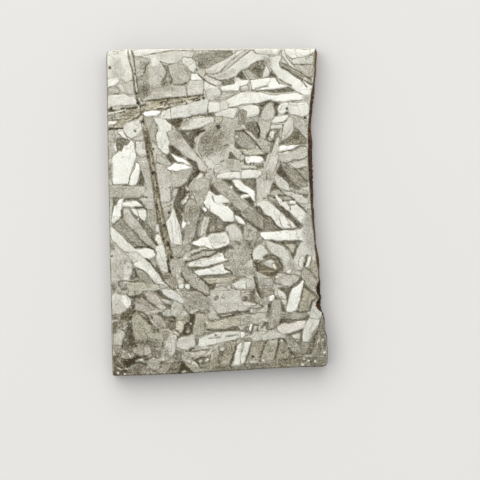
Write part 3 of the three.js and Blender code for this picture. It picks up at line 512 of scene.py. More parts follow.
Dp 163,316 173,318 176,321 175,326 175,330 172,331 166,328 168,325 167,322 165,320
K 163.5,316.3 166,316 170,317 173,315.7 176,318.3 175.5,320.3 172.5,318.8 165.5,318 166.3,320.5 164.5,320.8
M-o 176,314 190,314 190,320 189,323 186,324 185,321 181,320 177,320
Lt 177,321 181,321 184,324 184,327 183,331 179,336 177,337 175,334 172,332 175,331 176,326 176,322
D 175,330 178,330.5 180,334
Xr 190,314 195,314 195,319 192,334 187,336 183,336 178,338 177,340 177,338 181,334 183,331 184,328 184,325
 187,323 190,323
Do 186,326 191,325 191,331 187,331.5
Mo 196,314 203,314 207,316 208,319 204,331 204,335 203,336 196,336 193,335 193,329 195,323
D 204.2,324 205.5,323.5 205.8,326.5 204.8,329
M+ 208,315 216,314 219,317.5 220,319.5 209.5,320 208,318
D 209,320.8 213.8,320.8 213.8,321.8 209.5,321.8
M+t 208,323 214,322 219,320 240,315 240,325 238,326 233,326 229,328 225,329 207,329 207,326
M+ 240,315 262,313 270,313 277,315 279,320 276,325 272,329 269,330 269,323 266,322 262,322 260,324 255,324
 252,323 243,325 241,326
K 205,330.3 207,329.3 213,330 225,329.7 230.5,327.3 237,326.8 239,328 241,330.3 243.3,330.8 235,330.3
 222,331.8 207,331
W 206.5,331.5 209.5,331.3 208.5,332.2 206.5,332.2
D 204,332.3 207,333 212,332.3 212,333.5 209,334.5 205.5,334.5 203.5,336 202,336.3 203.7,334
B 198.5,337.5 203,337 208,335 209,336.5 212,337.5
L+ 199,339 203,337.5 208,335.5 212,333.5 216,332.5 222,332.5 227,331.3 238,331 240.3,333 240.3,337
 236,340 219,343 203,346.5 199,346.5 198,345
L 179,339 182,337 187,337 191,336 190,335 192,335 195,336 196,337 195,340 196,343 195,347 191,348 188,350
 183,350 177,348 177,344
W 190,335.3 193,335 195.5,335.8 192,336.3
M- 196,336.5 198.5,336.5 197.8,345.5 196,346 195.5,341
L 170,336 173,334 176,335 177,337 177,340 176,343 176,351 174,355 172,357 169,358 165,358 163,356 163,352
 166,341
M-p 163.5,340 168,335.5 167,332.5 162,330.5
D 176,350 178,351 181,351 184,352 185,354 184,355 182,354 181,356 181,360 180,364 177,364 175,362 175,358
 172,357 176,352
L-p 196,347 213,346 214,348 213,352 209,351 197,353 194,350
Lp 186,353 190,352 195,352 202,351 208,351 206,354 195,360 191,361 191,364 182,360
Do 199,360 203,358 208,358 210,359 210,363 203,365 200,364 200,366 195,361
M-t 200,366 208,364 211,362 214,357 217,354 219,351 220,345 226,343 236,341 236,345 234,353 232,357 229,370
 210,372 194,372 191,371
D 219,352 221,351.5 224.3,351.8 221.3,359 220.5,364 217.5,363.5 218,358 219.5,354.5
D 218.3,346 219.5,346 219,350 218,349.5
L+ 220,348.8 222,347.3 225,347.3 225,349.5 223,351.3 220.5,350.8
M-o 225,343 230,343 232,350 228,351 225.5,350
Mo 186,364 191,365 195,364 198,366 200,372 194,372 191,371 185,366
Xt 181,361 183,361 185,363 186,366 189,368 193,372 190,373 188,371 184,370 180,374 177,374 181,364
Dp 170,364 174,362 178,364 180,367 178,370 177,374 166,375 169,370
M-p 161,361 175,358 175,362 172,365 165,374 160,374 155,371
W 162,359.3 163.5,357.5 165,359 164.3,360.5 162.8,360.6
D 161,361.5 164.5,361.5 163.5,364 161,363.8
D 152,352 155,351 160,353 161,357 157,359 153,357
M 148,361 150,360 155,360 160,361 160,366 159,369 154,371 151,369 148,365
D 145.5,359.5 147,360.5 146.5,362.5 147.5,364.3 147,366.3 145.5,364.5
M-p 124,353 127,351 131,350 134,348 143,346 148,346 151,348 152,350 152,353 150,355 145,356 138,356 136,355
 132,359 128,359 124,355
M+ 144,347 148,346 151,349 152,353 149,355 144,355
W 120.5,355.8 125,357.3 124.5,358 121.5,357.8
W 128.5,358.3 130,357.3 132,357.3 131,358.5
X 121,358 125,359 132,359 137,355 139,356 148,356 148,357 138,359 136,360 135,362 130,367 128,362 129,360
 126,360 124,361 123,359
X 133.5,362 141,362 145,363.5 147.3,365.5 146.5,366.5 143,364.5 139,363.5 135,364 128.5,367.5 127,369
 126,368 128,365.5
L+o 138.5,359.3 142,358.8 145,359.3 145,362 142.5,362 139,361
D 119.5,357.5 122.5,359.3 123.5,362 122,362.8 120.5,361.8
D 123.5,361 127,361 128,363.5 126,365.5 124,364
Kr 113,356 117,354.5 119.5,357 118,361 115,362.5 112.5,361
Kt 113,362 118,362 122,365 123,370 113,366
Kr 113,368 115.5,366.8 118,368 119.5,370 117.5,371.5 115,370.5
Xr 112,370 120,371 126,370 128,372 126,375 118,376 112,376
Dp 127,372 129,369 136,365 139,364 143,365 150,371 152,375 127,375
D 148,368 160,373 164,374 152,375 149,371
W 240.5,332.5 244,331 245,333 245,336 242,339 240.5,338
W 246.5,333.5 248,333 248,335.5 246.5,336
W 245,325.5 247,324.5 247.3,326 245.5,327
W 248,328.5 249.5,325 251,323.5 253.3,323.8 253,327 250.5,332.5 249.3,331.5
D 245,327.5 248,326.5 248.5,330 249.5,332.5 247.5,333.5 242,330.5
L- 254,326.5 258,326 257,330.5 253,331.5 252.3,330
W 259.5,325.5 261,325.5 260.5,329 258.5,331 258,329
K 261.5,329 262.5,325.5 264.5,323 268,321.8 268,330 266.3,329.3 266.3,326 264,325.8 263,328.5
L- 260,331 268,331 269,333 268,337 266,340 252,342 251,339
L 270,331 274,330 286,336 285,338 280,339 276,338 266,341 262,341 262,335
M- 243,338.5 250,337.5 252,340 247,340.5 243.5,340
M 236.5,339.5 241,338.5 242,340.5 237.5,345 236.5,343
B 241,342 243,341 243,348 241,352 240,357 240,362 241,367 236,369 231,368 235,359 235,354 237,346
B 244,342 247,342 249,341 252,343 250,350 246,360 245,364 243,365 241,365 240,358 242,353
L-b 242.5,342 244,342.5 244.3,347 243,351 241.5,352.5
K 244,341 248,340.7 251,342 248.5,341.5 245,342
M-t 252,343 265,341 265,343 262,352 260,361 250,362 248,360 251,349
W 248.5,362 251,361 258.5,361.3 258.5,362.5 248.5,363
D 241,366 246,364 252,364 260,363 268,364 276,362 276,367 262,369 240,370
D 262,363 268,362 268,366 262,366
Mo 269,341 272,340 278,340 279,343 277,352 273,361 268,362 263,361 263,356 264,350 266,345
B 268,361.3 271,360.7 271.5,362 269,362.5
K 278,338.5 284,338.5 288.8,344.8 286.5,344.5 284,341.5 281,340.5 278.5,342
M-o 280,341 284,342 289,349 296,357 294,361 275,361 279,347
M- 285,338 288,336 294,339 296,343 300,346 309,348 308,354 300,357 296,355 288,344
K 280,325.5 279.5,322.5 280.5,319.8 283,319 297,319.7 297,321 292,321.5 290.5,322.5 288,323 284,322.8
L+p 277,327 282,324 287,324 292,323 296,321 305,321 306,322 305,326 303,329 299,330 292,334 282,334 277,330
Mp 291,322 296,321 296.5,322 292,323
K 297.5,319.7 305,318 308,316 310,315.5 309,318 307,320.5
K 288,335 291,334 294,332 303,329 304,331 303,332 300,332 296,333 291,336 293,337 286,335
L- 291,335 298,333 301,333 301,337 300,340 297,340 292,337
K 303,332 302,335 302,342 301,344 300,349 300,345 295,342 300,342 300,338 301,334
L+ 309,317 314,319 320.5,319 319,323 316,328 312,334 309.7,339 308,342 302.5,341.5 302,337
 303,331 306,323.5
M- 302,343 309,342 309,348 307,353 303,353 301,350
Do 314,334 319,327 321,328 321,331 319,337 317,341 316,346 313,351 312,354 310,355 306,354 307,351 310,346
 310,342
D 320,322 323,316 324.5,322 325,335 321,336 319,326
D 321,336 325,336 327,340 327,358 319,354 318,349 320,343
M- 316,347 319,342 319,346 318,352 322,355 316,357 312,356
D 285,361 300,357 312,357 327,358 327,363 325,366 312,367 285,367
M+r 107,112 120,111 135,109 140,110 141,114 138,117 133,120 126,122 122,124 122,128 115,129 107,129
L-r 147,101 175,99 203,95 198,100 186,104 178,105 166,109 158,110 146,110 141,107 143,106
L 129,50 131,50 135,68 139,97 137,96 134,79 131,66
Dr 143.8,124 146.6,124 149.3,137 151.5,148 154,165 158.8,186 160.3,200 163.5,215 166.5,226 172,255
 171,260 169.5,265 168,264.5 166.5,255 163.5,246 161,235 158,226 154,200 152.5,186 149,165 147,155 144.8,140
 143.2,130
M+r 166,246.5 169,246.5 169,249.5 166,249.5
Do 256,276 259,283 259,287 261,290 262,294 264,298 262,299 257,292 256,288
M+ 185.5,331 189.5,330.8 191,332.5 187.5,333.5 185.8,333
M+ 134.5,360.5 138,359.8 138.5,362 135,362
L+t 172,101 182,99.5 181,102 174,103
Dr 159,102.5 162,102.5 163,104 160,104.5
Dr 168,104 171,103 177,103.5 181,102.5 177,105 169,106
M-b 108,113.5 116,113 116.5,117 114,120.5 107.5,120.5
L-t 115,114 121,112.8 125,114 124,118 119,120.3 115.5,119.5
Bb 112,117.8 115,117.3 115.3,119.3 112.3,119.8
L+t 113.5,109.8 117,108.6 121,108.2 122.5,108.6 120.5,110 116,110.5
Kr 107,108.8 111,109 115,110.3 113.5,111.4 107,111.6
M+ 124.5,106.6 128,105.6 135,105.3 136.5,106.5 131,107.6 126,107.6
B 107,121.3 116,120.8 118.5,121.8 115.5,124 110,125.3 107,125.2
L-p 107,125.2 110,125.3 115,124.5 113,127.3 107,127.6
Mr 114,125.5 118.5,122.3 122,124.5 122.5,127.5 113,128
M 165.5,79 167,76.3 170,76.3 171.5,79 170,82 167,82.5
M+b5 302.5,229 306,214 311,206 313,225 315,243 315.5,255 312,256 308,249 303.5,241 301.5,235
M 273.5,300 279.5,299.5 281.5,306 281,313 279.5,320 277,328 269,329.5 268,322 270,312 271.5,305
Dr 253,261 257.5,260.3 263,261 264.3,257 267,254.5 272,255 275,255.3 278,257 280.5,260 282,264.5 284,268
 283,271.5 278,273 276,275.5 272,277 267,276 263.5,274 259,272.5 256,269 253,266
L-b 262.5,263.5 266.5,260.8 270,259.3 274,261 276.5,265 278,269 275,270.5 271,268.5 266,266
Bt 272.5,263 275,264 277,268.5 275.5,270 273,268.5 272,266
Kr 267,271.8 272,272.3 277,270.5 280,270 281,272 278,273 276,275.5 272,277 269,275
Kr 264.5,257.5 267,255 271,255.5 271.5,257.8 268,258.5 266,258.8
W 274.8,277.5 276.5,276.3 279,275.7 278.5,277.5 277,278.7 275.5,278.5
M-p 139.5,313 143,313.3 147,316.5 148,319 144,317.8 141,315.3
B 206.5,356 210.5,354.3 210.5,356 208,357.3
B 198.5,361.7 200,360.4 203,360 201.5,362.5 200,363
B 204.5,361.7 206.5,359 209,358.3 209,360.5 206.5,362.3
Mo 180,374 184,370 188,371 190,373
L-5 112,62 120,60 124,70 121,79 113,79
B3 151,59 157,57.5 160,61 158,66 152,66
M+5 150,86 170,84 182,86 180,91 160,94
M-7 203,134 214,128 224,133 221,146 212,155 205,150
L5 203,158 213,156 222,158 222,166 213,170 206,168
M+4 213,75.5 221,74 230,71 236,68 236,74 228,78 219,79
M-5 232,268 245,266 256,268 256,275 234,275
M-5 188,207 199,208 196,224 189,224
M+4 186,236 192,234 192,244 186,246
D4 246,243 252,242 253,249 247,250
M4 288,262 295,262 296,270 290,271
L3 282,281 290,281 292,286 285,288
D4 111,284 115,284 117,292 111,296
D4 111,316 118,316 117,333 112,334
D4 126,349 134,348 134,354 127,356
M-5 163,347 169,347 170,358 163,358
M-5 182,353 190,353 191,359 184,360
Dt5 270,361 300,360 300,369 270,371
M-4 258,355 268,355 268,363 258,363
M-4 198,299 210,299 211,307 200,308
M4 264,170 272,170 272,180 265,180
B 298.5,266 300,257 304.5,254.3 304,260 301.5,267.5
W 305.5,266.5 308,258 311.3,255.3 311.5,259 309,266 307,268
M- 279.5,65.5 282.5,62.5 292,70.3 298,73.3 306,78.5 313,82.5 313,86 300,79.5 281,67.5
Kp3 249.5,291 255,289.5 256,293 255,301.5 250.5,300.5
X3 128.5,336 133.5,335.5 135.5,344 131,346 129,343
X3 123,360 130,360.5 130,367 124,367.5
M-4 143,66 148,66 148.5,78 144.5,80
D3 162,82 172,81 171,87 163,87
D4 140,86 146,86 151,94 144,98
M-4 211,349 217,349 218,356 213,357
M-4 264,57 271,58 272,66 266,66
D4 266,308 272,309 272,318 266,318
B3 124,277 130,277 130,283 124,283
B3 211,82 217,82 217,88 211,88
D4 212,367 245,365 245,373 212,374
Do2.5 255,262 261,262.5 262,268 257,268
Ko2.5 279,260 283,265 282,271 279,269
M-4 173,133 179,132 182,138 176,140
W 271.8,131.5 275,130.8 274.5,134.5 272.8,138.3 270.5,138.5
D4 200,138 210,136 212,146 203,150
Lb4 123,263 131,262 132,274 124,276
M+r2 143,124 147,124 148,131 144,131
M-4 214,96 221,96 220,102 214,102
L-4 270,341 278,341 277,348 271,348
B2.5 156,225 160,225 160,232 156,232
D4 151,325 160,325 160,333 152,333
M-3 108.5,163 112.5,163 112.5,180 108.5,180
W3 126,50 132,50 132,55 126,55
D3 143,357 149,357 149,363 143,363
W3 279,150 288,150 288,154 279,154
L4 301,259 306,259 306,267 301,267
M-4 164,86 174,86 174,91 164,91
L4 300,77 308,78 309,83 302,82
M4 303,95 309,95 309,101 303,101
D3 199,63 206,63 206,69 199,69
M-3 109.5,243 114,243 115,251 110,251
M4 183,119 190,119 189,126 182,126
D4 198,367 209,367 209,373 198,374
M3 226,160 234,160 234,169 226,168
"""

# Seams, cracks and streaks: kind, hue letter and width, then the points that they follow.
LINES = """\
K1 276,78 278,82 280,84
K1 255,89 268,86
K1 301,80 307,87
K1 198,74 203,79 208,82.5 216,86
K1 207,74 204,76
K1 209,76 216,79
W1.5 115.5,143 115,147 116,150
X2 197.5,135 199,132.5 201,131.5 204,130.5
K1.2 187,117.5 193,116 200,115 208,115.5 214,116
K1 236.5,117 240,110.5
X1 235,131.3 243.5,131.3 248,135 255,141
X1 256,144 259,147 261,149
K1 242,154 246,156 256,155 262,156 268,153.5
K1 224.5,145.5 228.5,144.5
K1 279,152.3 286,151.3 292,150 297,147 300,146 306,146.3
K1 266,140 268.5,136 270,130
K1.8 135.5,208 144,207.5 146.5,210
K1.2 142,196.7 147,197.6
D1.3 123,185.5 129,185.5
K2 189,192 187,193 185,196 183,198.2
X1 200,171 197,175 193,179 189,183.5 187.5,186.5
D1 170,187 171,189 171.5,192 171.7,197 171,200 170.5,202
D1 173,190 174,188.5 178,187.5
D1 172.3,200 173.5,198.5 174,197
M0.8 171.3,175 171.5,185
D1 167,206.5 172,205
D0.9 204.5,161.5 206,165.5 207.5,168
D1 200.5,171.8 203,173 206,173 208,172.5
D0.9 205,173 204,176 202.5,177.5
D0.9 209,170 211,168.7
K0.9 187,199.3 190,198 192,199 194,200.2 196,201.5 196,203
K1.2 186,203.5 184,205.5 183.3,208 183.5,212
D1.2 212.3,196.5 212.8,199 213.5,201 214.5,202.2
M0.8 214.5,202.5 219,203.4 224,203.8
D1 204,206 208,209 211,212
D1.1 213,178.5 210.7,179 210,181 210,184
D1.3 240.3,161.3 243.3,161.5
D1 241,152.5 243,154 245,155.5 246,156
D1 244.5,156 244.5,164.8 250,164.8
D1 241,169.4 258,169.2
D1 220.5,162.3 223.5,160.7
D0.9 231,170.5 233,171.3 240,171.2
D0.9 214.5,172 214.5,174
D0.9 216,177.5 216.5,175 218.5,174
D0.9 232,179.3 233,178.5 235.5,178.3
D1 255,179 256.3,182 255.8,187 255.7,195 255.8,202
D1 280,162.5 286,162.8 290,161.8 294,160.2 300,160 304,158.3 307,156.8
D0.9 286,163 289,167
K1.3 294,169 297,170.5 300,174 303,178 306,181 309,181.5
D1 279,189.5 283,192 286,195 289,197 293,198.5
D1 290.5,189.5 293,191.5 296,193
D1 263,198.5 268,198.2
D1 286,200.3 294,199.8
K1.2 293.5,199.5 296,202 298,204.5 301,206.3 304,210 306,212
D0.9 290.5,205 290.5,207
D1 266.5,176 266.3,179
K1.5 151,238 154,241 156,244 157.5,244.8
D1 123,220 127,224.5 132,229.5 134,230
D1 134,232.5 137,234.5 138.7,237 139,239
K1.5 140,239.5 145,244 150,247.5 153.5,249
K1.5 133.5,248 138,247.5 144,247.2 149,247.5 152,249
M1.2 113.5,243 117,247 120,250 123,253
D1 131.5,261.5 132.5,263.5
D1 134,249.5 134.5,251.5 137,254 139,256
K1 154,249.5 155,252.5 156.5,254.5
K1.8 144,259 147,259.3 149,261 151,264 153.5,266
K1.3 184,206 183.3,209 183.5,212.5
D1.5 201.3,209 200.5,214 199.5,219 198.5,223 197,228 196,233 195,237 193,240 192,242
B1 205,218 203.5,224 202,230 201,235
B1 208.5,217 207.5,222 206,228 204,233
K1.2 216.5,231.7 221,231.7
K1.5 192,255 196,253 200,252 204,250.5 209,250 216,250.3 221,250.5
K1.5 186,263 189,261.5 194,260 199,258.3 203,257 209,257 213,254.5 217,252 221,251.5
D1.2 177,258.5 183,257.5
D1 189,257 192,256.3
D1 173,258 176,260
M0.9 195,263.5 200,263.3
M0.9 204,259.5 209,259.3 216,257.3 219,255.7 222,255.7
M-2 243,235 243.5,240 243,245
D1.2 227.5,233 228.5,235
K1.2 210,265.5 214,265 219,263.3 224,262 228,261
K1.3 256,242 254.5,246 252.5,250 251.7,255 252.5,259.5
D1 265,245 267,249 269.5,253 271,254.5
K1.5 270.5,217 273,220.5 275,224.5 277.5,227.5 281,229.5
D1 288,224.5 290,226 291.5,228
D1 300,206.5 304,209 306,212 308.5,213.8
K1 281,229.5 286,229.4 291,229.2 297,228.5
D2 308,255.5 306.5,258 305.5,262 304,266
M-1 117,275 118,277 120,278.5
D1 127,280.8 122,281.3 119.5,282.5 119,285 121,286.5
Dt1.6 128.5,281.5 132,282 136,281.3 140,280.8 145,281.8
D1 150,278.5 152.5,281.5 155,284.5
Kt2 168,260 168,263 168.7,267 169.5,272
D1.2 171.3,274 171.7,277.5
D1.3 160,275 163,280 167,284.5 171,288 175,290 177,291.5
K1.5 181.5,273 182,276 184,279.5 186.5,282
K1.5 195,289.8 200,291.5 203,294 206,296 209,295
D1 185,289 188,290.5 191,292.5
K1.6 199.5,277.5 202,279.5 205,282 208,285
M0.9 195,263.3 200,263.2
K1.5 225,268 228,270.5 230.5,271.5 232,274
D1.2 194,273 197,275.5 200,277
D1 171.5,300.5 173,302 171.5,303.5
K1 127,295 130,296.5 132,298
X1.6 135.5,310.5 133.5,312.5 131.7,315 130.7,319
L+1 149,289.3 156,289.8 160,289
D1 183.5,306 184.5,308 187,311 189,315
D1.2 203,311 206,310 209,311.5
K1.2 243,300.5 249,300.3 255,302 260,304.5 263,306
D1 250,307.5 255,307
D1.2 256,308.5 261,307.5 263,306.5
L-1.5 262.5,309.5 265,306 268,303
D1.2 288,300 287.8,303
D0.8 279,283.5 283,286.5 288,287
D2 306.5,260 305,264 303.8,267
D1.5 304,267 307,268.5 310,270.5 312,274 315,277 317,279
K1.3 304,283 303,290 301.5,296 300,302 298.5,307 296.5,311
K1.3 318,297.5 315,299.5 312,301.5 311,305 310.3,309 309,311 304,312 300,312.3 296,311.8
L+1.2 111.5,321.7 114,321 117,320
L+1.3 123,328.8 125.5,326.5 127,325.5
K1.3 122,329.5 124.5,330 125.5,334 125.3,337.5 123.5,339.5 122.5,343 122.3,349
K1 126,320.7 129,320.8
M1 130,315 133,314
L1 155,349.5 160,348
L+0.9 152.5,321.5 156,325.5 159.5,327.5
D1 210,333 214,332 216,331.5
M1 228,337 233,336 238,335.2
D1.5 196.5,340 196.8,344.5
K1 187,351.3 190,350.8 191.5,348.8 194.5,348.3
M1 196,348.3 200,347.8 204,346.6 208,346.3
D1 184,350.8 188,351.3
K1.6 194,360.2 198,359.3 201,358 204,357 208.5,357.3
L+1 203,355.8 207,354.3 211,351.5 212,349
K1.3 194.2,360.5 197.5,363 200,366
D1 210.5,356 210.3,359
D1 224,350.3 227,350.2
D1 172,357.5 170.5,358
K1.2 145.5,360 148,359.5 152.5,357.8
L0.9 127.5,353.5 129.5,355 130.5,357
K1.5 121,362.3 123,363.3 123.8,366 123.5,369.5
K1.2 123.8,366 125.5,365.3
L1 116.5,367.5 119.5,369.3
D0.8 146,367 150,369.5 156,372.3 161,374
K1.8 253.5,325.3 252.7,328 251.5,331.5 250,334.5
K1.2 253.5,325 256,325.5 259,325.3 258.3,328 257.5,331.5
K2 235.5,347 235,351 233.5,356 232,361 230.3,366.5
D1.8 251.5,343 250,350 248,355.5 246,361 244,364.5
D1.2 243,365.5 246,364.5
D2 267.5,340.5 265.5,344 264,348 262.3,353 260.5,357 259.5,361
D1.3 250.5,335 253,333.5
K1.5 278.3,339.5 278.5,343 277.5,349 276,354.5 274.5,359.5
L-0.9 287,341 290,346.5 293,352
K1.6 288,347.5 291,350.5 294,354.5 296.5,357.5
D1.3 284,360.2 274,360.5
D1.2 268,329.8 272,329 276,326 279.5,324
D1.5 295,339.5 296,342.5
D2 280,364 281.5,367.5
L-r0.9 149.5,150 152,168 156,190 159,206 162.5,224 166,243
Dr0.9 143.5,128 147,145 149.5,160 152,178 155.3,202 157.5,216 161.8,236 166.5,254.5
Dr0.8 146,127 150,139 153,156 155.8,174 158.3,187 160.3,200 163.3,214 165.8,226 168,236 171.5,253
Kr1 128,50 129,58 131,66 133,75 134,80 135.5,90 136,93 138.5,104 141,107 141,113 143.5,117 143.5,122
 145,126
Kr0.9 131.5,50 132.5,55 134,60 135,68 135.5,74 136.5,80 138,88 139,93 139,98
Xr1.2 133,119.5 134,118.5 137,118 139,116 140.5,114.5 141.5,112.5 143,111 145,110.2
Xr1.3 140,106.5 143,105.5 146,104.5
Xr1.2 147,101 152,100.5 162,99.5 175,98 190,96.5 203,95
Xr1.5 168,99 167,102 164.5,106
Xr1.2 157,109.5 161,109.2 166,109.4 168,108 170.5,107.5
Xr1.2 254.5,277 256.5,287 260.5,297
K1.5 280,364 281.5,367.5
W1 266,311.5 267,307
K1 191,351.3 195,351.3 200,350.5 208,349.3
L+1 194,362.5 198,367
D1.2 169,370 165.5,374
D1 283,359.8 290,359.3
D0.8 112,107.3 118,106.6 124,106 130,105.3 136,105
X1.4 111.3,107.8 111.6,110.5
X1.3 121.3,109.5 124,108.4
X1.2 126.5,109.3 131,108.6 133,108
X1.8 133.3,108.3 136.5,107.3
X1.2 119,112.8 122,112.2 124.3,112.3
K0.8 109.5,112 114,111.5 117.5,111.2
W1.4 107,113.3 112,112.9 118,112 122.5,111
K0.8 126,110.5 130,110 133,111
K0.8 129,112.8 133,113.3 136.5,112
K0.8 119.5,116.5 124,115.5 128,116 132,115
K0.8 117,120 121,119 125,119.3 130,117.5
X1.8 107,128.9 112,128.8 117,128.4
X1.1 117,128.4 122.7,128.2
M0.7 208,237.5 213.5,247
M0.7 209.8,236.5 215.3,246
M0.7 211.6,235.6 217.1,245
M0.7 213.4,235.2 218.9,244.7
M0.7 215.2,234.8 220.7,244.3
M0.7 217,234.5 222.5,244
M0.7 218.8,234.5 224.3,243.5
M0.7 171,220.5 172,232 173.5,243
M0.7 174.3,216 176.8,234
M0.7 177.5,222 179.5,235 180.5,243
L+6.5 128,247 135,253 142,260 148,266
B4.5 159.5,238 161,244 162.5,250
W0.8 266,271.3 270,271.5 273,271.3
K0.8 277,272.8 281,273.3 285.5,273
Kr1 254.5,263 258,263.5 261,262.5
Kr1 277.5,259 280,264 281.5,269
D0.8 209,338.3 216,337.8 221,337.2
D0.8 226,336.5 232,336 238,335
L1.8 167,316 171,315.2 175,315.6
W2.2 242,196.8 244.5,196.3 248,196
X1.2 257,123 259,127 259.3,133 258,138
K1 320.5,320 317,331 314.5,341 311.5,352
W+2.4 290.8,202.8 295.2,202.4
X1.3 193,99.5 197,98 200,96.5
X1.2 196,101 200,99.5
K0.9 251,89.7 258,91 268,91.5
K1 280,62 290,66.5 300,72 312,80
K1 281,66.3 290,72 300,78 313,85
D1.2 280,79.5 285,83 291,85.5
K1.1 270.5,129.8 267.5,134 266.3,139.8 270,141.5 274,140.5
K1 270.5,129.8 275,129 280,128.8
K0.8 277,131 275.5,135.5 273.8,140.5
K0.9 243,129.8 249,135.5 254,141 260,148
Xr1.2 254,262.5 257,266 258,271
Kr1.3 263,257.5 268,255 274,255.8 279,259.5
W0.9 267.5,262.5 271,261.5
Kr0.8 160,105.6 165,104.8 170,103.6
Kr0.9 175,102.6 180,101.6 186,100.6
Kr0.8 143,106.2 147,105.8 150,105
Kr0.8 188,99.8 192,99.5 196,98.4
Dr1.2 164,101.8 168,101.2 172,100.6
W0.8 146,104.3 150,103.9
W0.8 171,105 176,104
W0.8 183,103.3 190,101.8
K0.9 243,129.8 248,130 252,133 257,138
K1 172.5,84.5 179,84.8 184,84 186.5,82.8
K0.8 140,76.5 143.2,75.5 145,70 147,65 149.5,62.5
"""

# The survey was read in strips. An outline that was cut along these lines has no seam there.
STRIP_LINES = (206, 212, 260, 266, 281, 314, 320)
STRIP_COLUMNS = (240, 263)

# Small dark pits and inclusions: across, down, radius. A minus radius is a bright speck.
SPOTS = (
    "110,68,1.2 186,83,1 197,70,1 135,131.3,1 286.5,108.5,1 305,117.5,1.3 218.5,126.5,1.8 134.3,74,1 "
    "137.5,93.5,1.2 137,100,1.1 138.5,103,1.8 142.5,121.5,1.7 161.5,103,1.2 197,98.5,1.1 203.5,98.5,1.1 "
    "182,102.2,1 186.5,103.3,1 193.5,100.5,1 148,142.5,1 153,149,1 147.5,152,1 153,173.3,2 148.5,156.5,1.3 "
    "152.5,163.5,1.1 156.5,183.5,1 156.3,188,1 156.5,191.5,1.2 157,204.5,1 157,208,1 160,219.5,1.2 "
    "164.5,225.5,1.2 163.5,239.5,1.2 168.3,244.5,1.8 171.3,257.8,1.8 168,261.5,1.3 169.8,272,1.3 "
    "250.3,163.5,1 253.5,164,0.9 283.5,200.5,1 274.5,197.5,1 112,256.5,1 238.5,248.5,0.8 242,264.5,0.8 "
    "169.5,213,1.4 133,308,1.3 151.5,317,1 163.5,327.5,1 192.4,358.5,0.9 215.5,335.5,0.9 253,357,1.3 "
    "161.5,363.5,1 160.5,367.5,1 236.5,136.5,-1 231.5,187,-1.4 188.5,223,-1.2 185.5,258,-1.2 "
    "228.5,287.5,-1 191.3,323.7,-1 206.8,322.7,-1.3 281.5,340.5,-1 263,360,-1 304,359,-1 308.5,360.5,-1 "
    "315,361.5,-1 303,364.5,-1 118,373,-1 125,374.3,-1 323,339.5,-1 324,352.5,-1 275,51,-2.5"
)

# Depth in mm of a pit, of an open crack, which is a dark line of the rust hue, and of other dark lines.
# The relief's share lessens these depths and the heights of the kinds alike.
SPOT_DEPTH = 0.12
CRACK_DEPTH = 0.12
SEAM_DEPTH = 0.05

# Widths in survey units of the fade over the edge of a plate and of a line, and of the seam round a plate,
# and how strong that seam is.
EDGE_FADE = 1.1
LINE_FADE = 0.9
SEAM_WIDTH = 1.0
PLATE_SEAM = 0.8

# How far a plate's lightness may differ from its kind's, how much it changes per survey unit across it and
# at most, and how far its grain may turn off its long axis, in half turns.
PLATE_VARIETY = 0.015
PLATE_TILT = 0.002
TILT_LIMIT = 0.03
AXIS_SPREAD = 0.08

# Ridges of the crust: spacing in mm, lean per mm of depth, survey units over which the lean swings, waves as
# strength, pace, phase and lean, and the share of their height where the crust has not come out.
RIDGE_PITCH = 0.3
RIDGE_LEAN = 0.3
RIDGE_SWING = 11.0
RIDGE_WAVES = ((1, 1, 0, 1), (0.5, 0.31, 1, -3), (0.4, 0.13, 0, 1))
RIDGE_CALM = 0.35

# Pits of the crust: lumps as strength and cells in height and along the edge, and the rows over which they
# fade at both ends. Then how tan the crust is, at places down the sheet.
CRUST_LUMPS = ((0.6, (3, 28)), (0.4, (7, 90)))
PIT_FADE = 12
CRUST_TAN = ((50, 1), (92, 0.8), (102, 0.3), (115, 0.3), (126, 0.7), (142, 0.3), (185, 0.2), (205, 0.45),
             (262, 0.75), (282, 0.15), (292, 0), (330, 0.1), (360, 0.2))

# Rim of the face: how far it lies below the plates in mm, the cells over which the relief fades to it, and
# its lightness on the left, bottom, crust and top side, which is painted light: a painted highlight along
# the top and painted shade along the bottom and the left.
RIM_DROP = 0.02
RIM_CELLS = 3
RIM_PAINTED_LIGHT = (0.6, 0.45, 0.62, 0.97)

# Sway of the plates' edges, so that none is ruled: reach in survey units, and cells down and across.
EDGE_SWAY = ((0.3, (120, 82)), (0.4, (46, 31)))

# Lightness of the metal and the colour that is seen there, 0 to 255, and the hues as mask, strength and tint.
METAL_COLOURS = (
    (0.22, (58, 50, 34)), (0.4, (105, 100, 84)), (0.5, (129, 125, 108)), (0.64, (164, 161, 148)),
    (0.78, (193, 191, 180)), (0.92, (217, 217, 208)), (1.0, (236, 236, 231)),
)
HUE_COLOURS = (
    ("olive", 0.3, (0.95, 0.95, 0.78, 1.0)), ("tan", 0.5, (1.0, 0.95, 0.82, 1.0)),
    ("violet", 0.55, (1.0, 0.94, 0.93, 1.0)), ("cool", 0.5, (0.95, 0.965, 1.0, 1.0)),
)

# Each grain as features per mm and how much it changes the lightness, and how far it is drawn out along
# its plate: mottle, blotches and brushing of the etched metal, and flakes of rust.
MOTTLE = (7.0, 1.2)
BLOTCH = (1.1, 0.4)
BRUSH = (9.0, 0.45)
BRUSH_STRETCH = 7.0
RUST_FLAKES = (3.6, 0.85)
FLAKE_STRETCH = 4.0
GRAIN_DETAIL = 4.0
GRAIN_ROUGHNESS = 0.75

# Two lightnesses, and how strongly the grain stirs dark metal at the first and bright metal at the second.
STIR = (0.45, 0.92, 1.3, 0.6)

# Hairlines inside the plates are borders of cells: cells per mm, width in cells, darkness, sway in mm and
# its features per mm, and the patches that have them, as features per mm and span of their noise.
HAIRLINE_SCALE = 0.8
HAIRLINE_WIDTH = 0.035
HAIRLINE_DEPTH = 0.2
HAIRLINE_SWAY = (0.9, 1.6)
HAIRLINE_PATCHES = 0.55
HAIRLINE_SPAN = (0.48, 0.56)

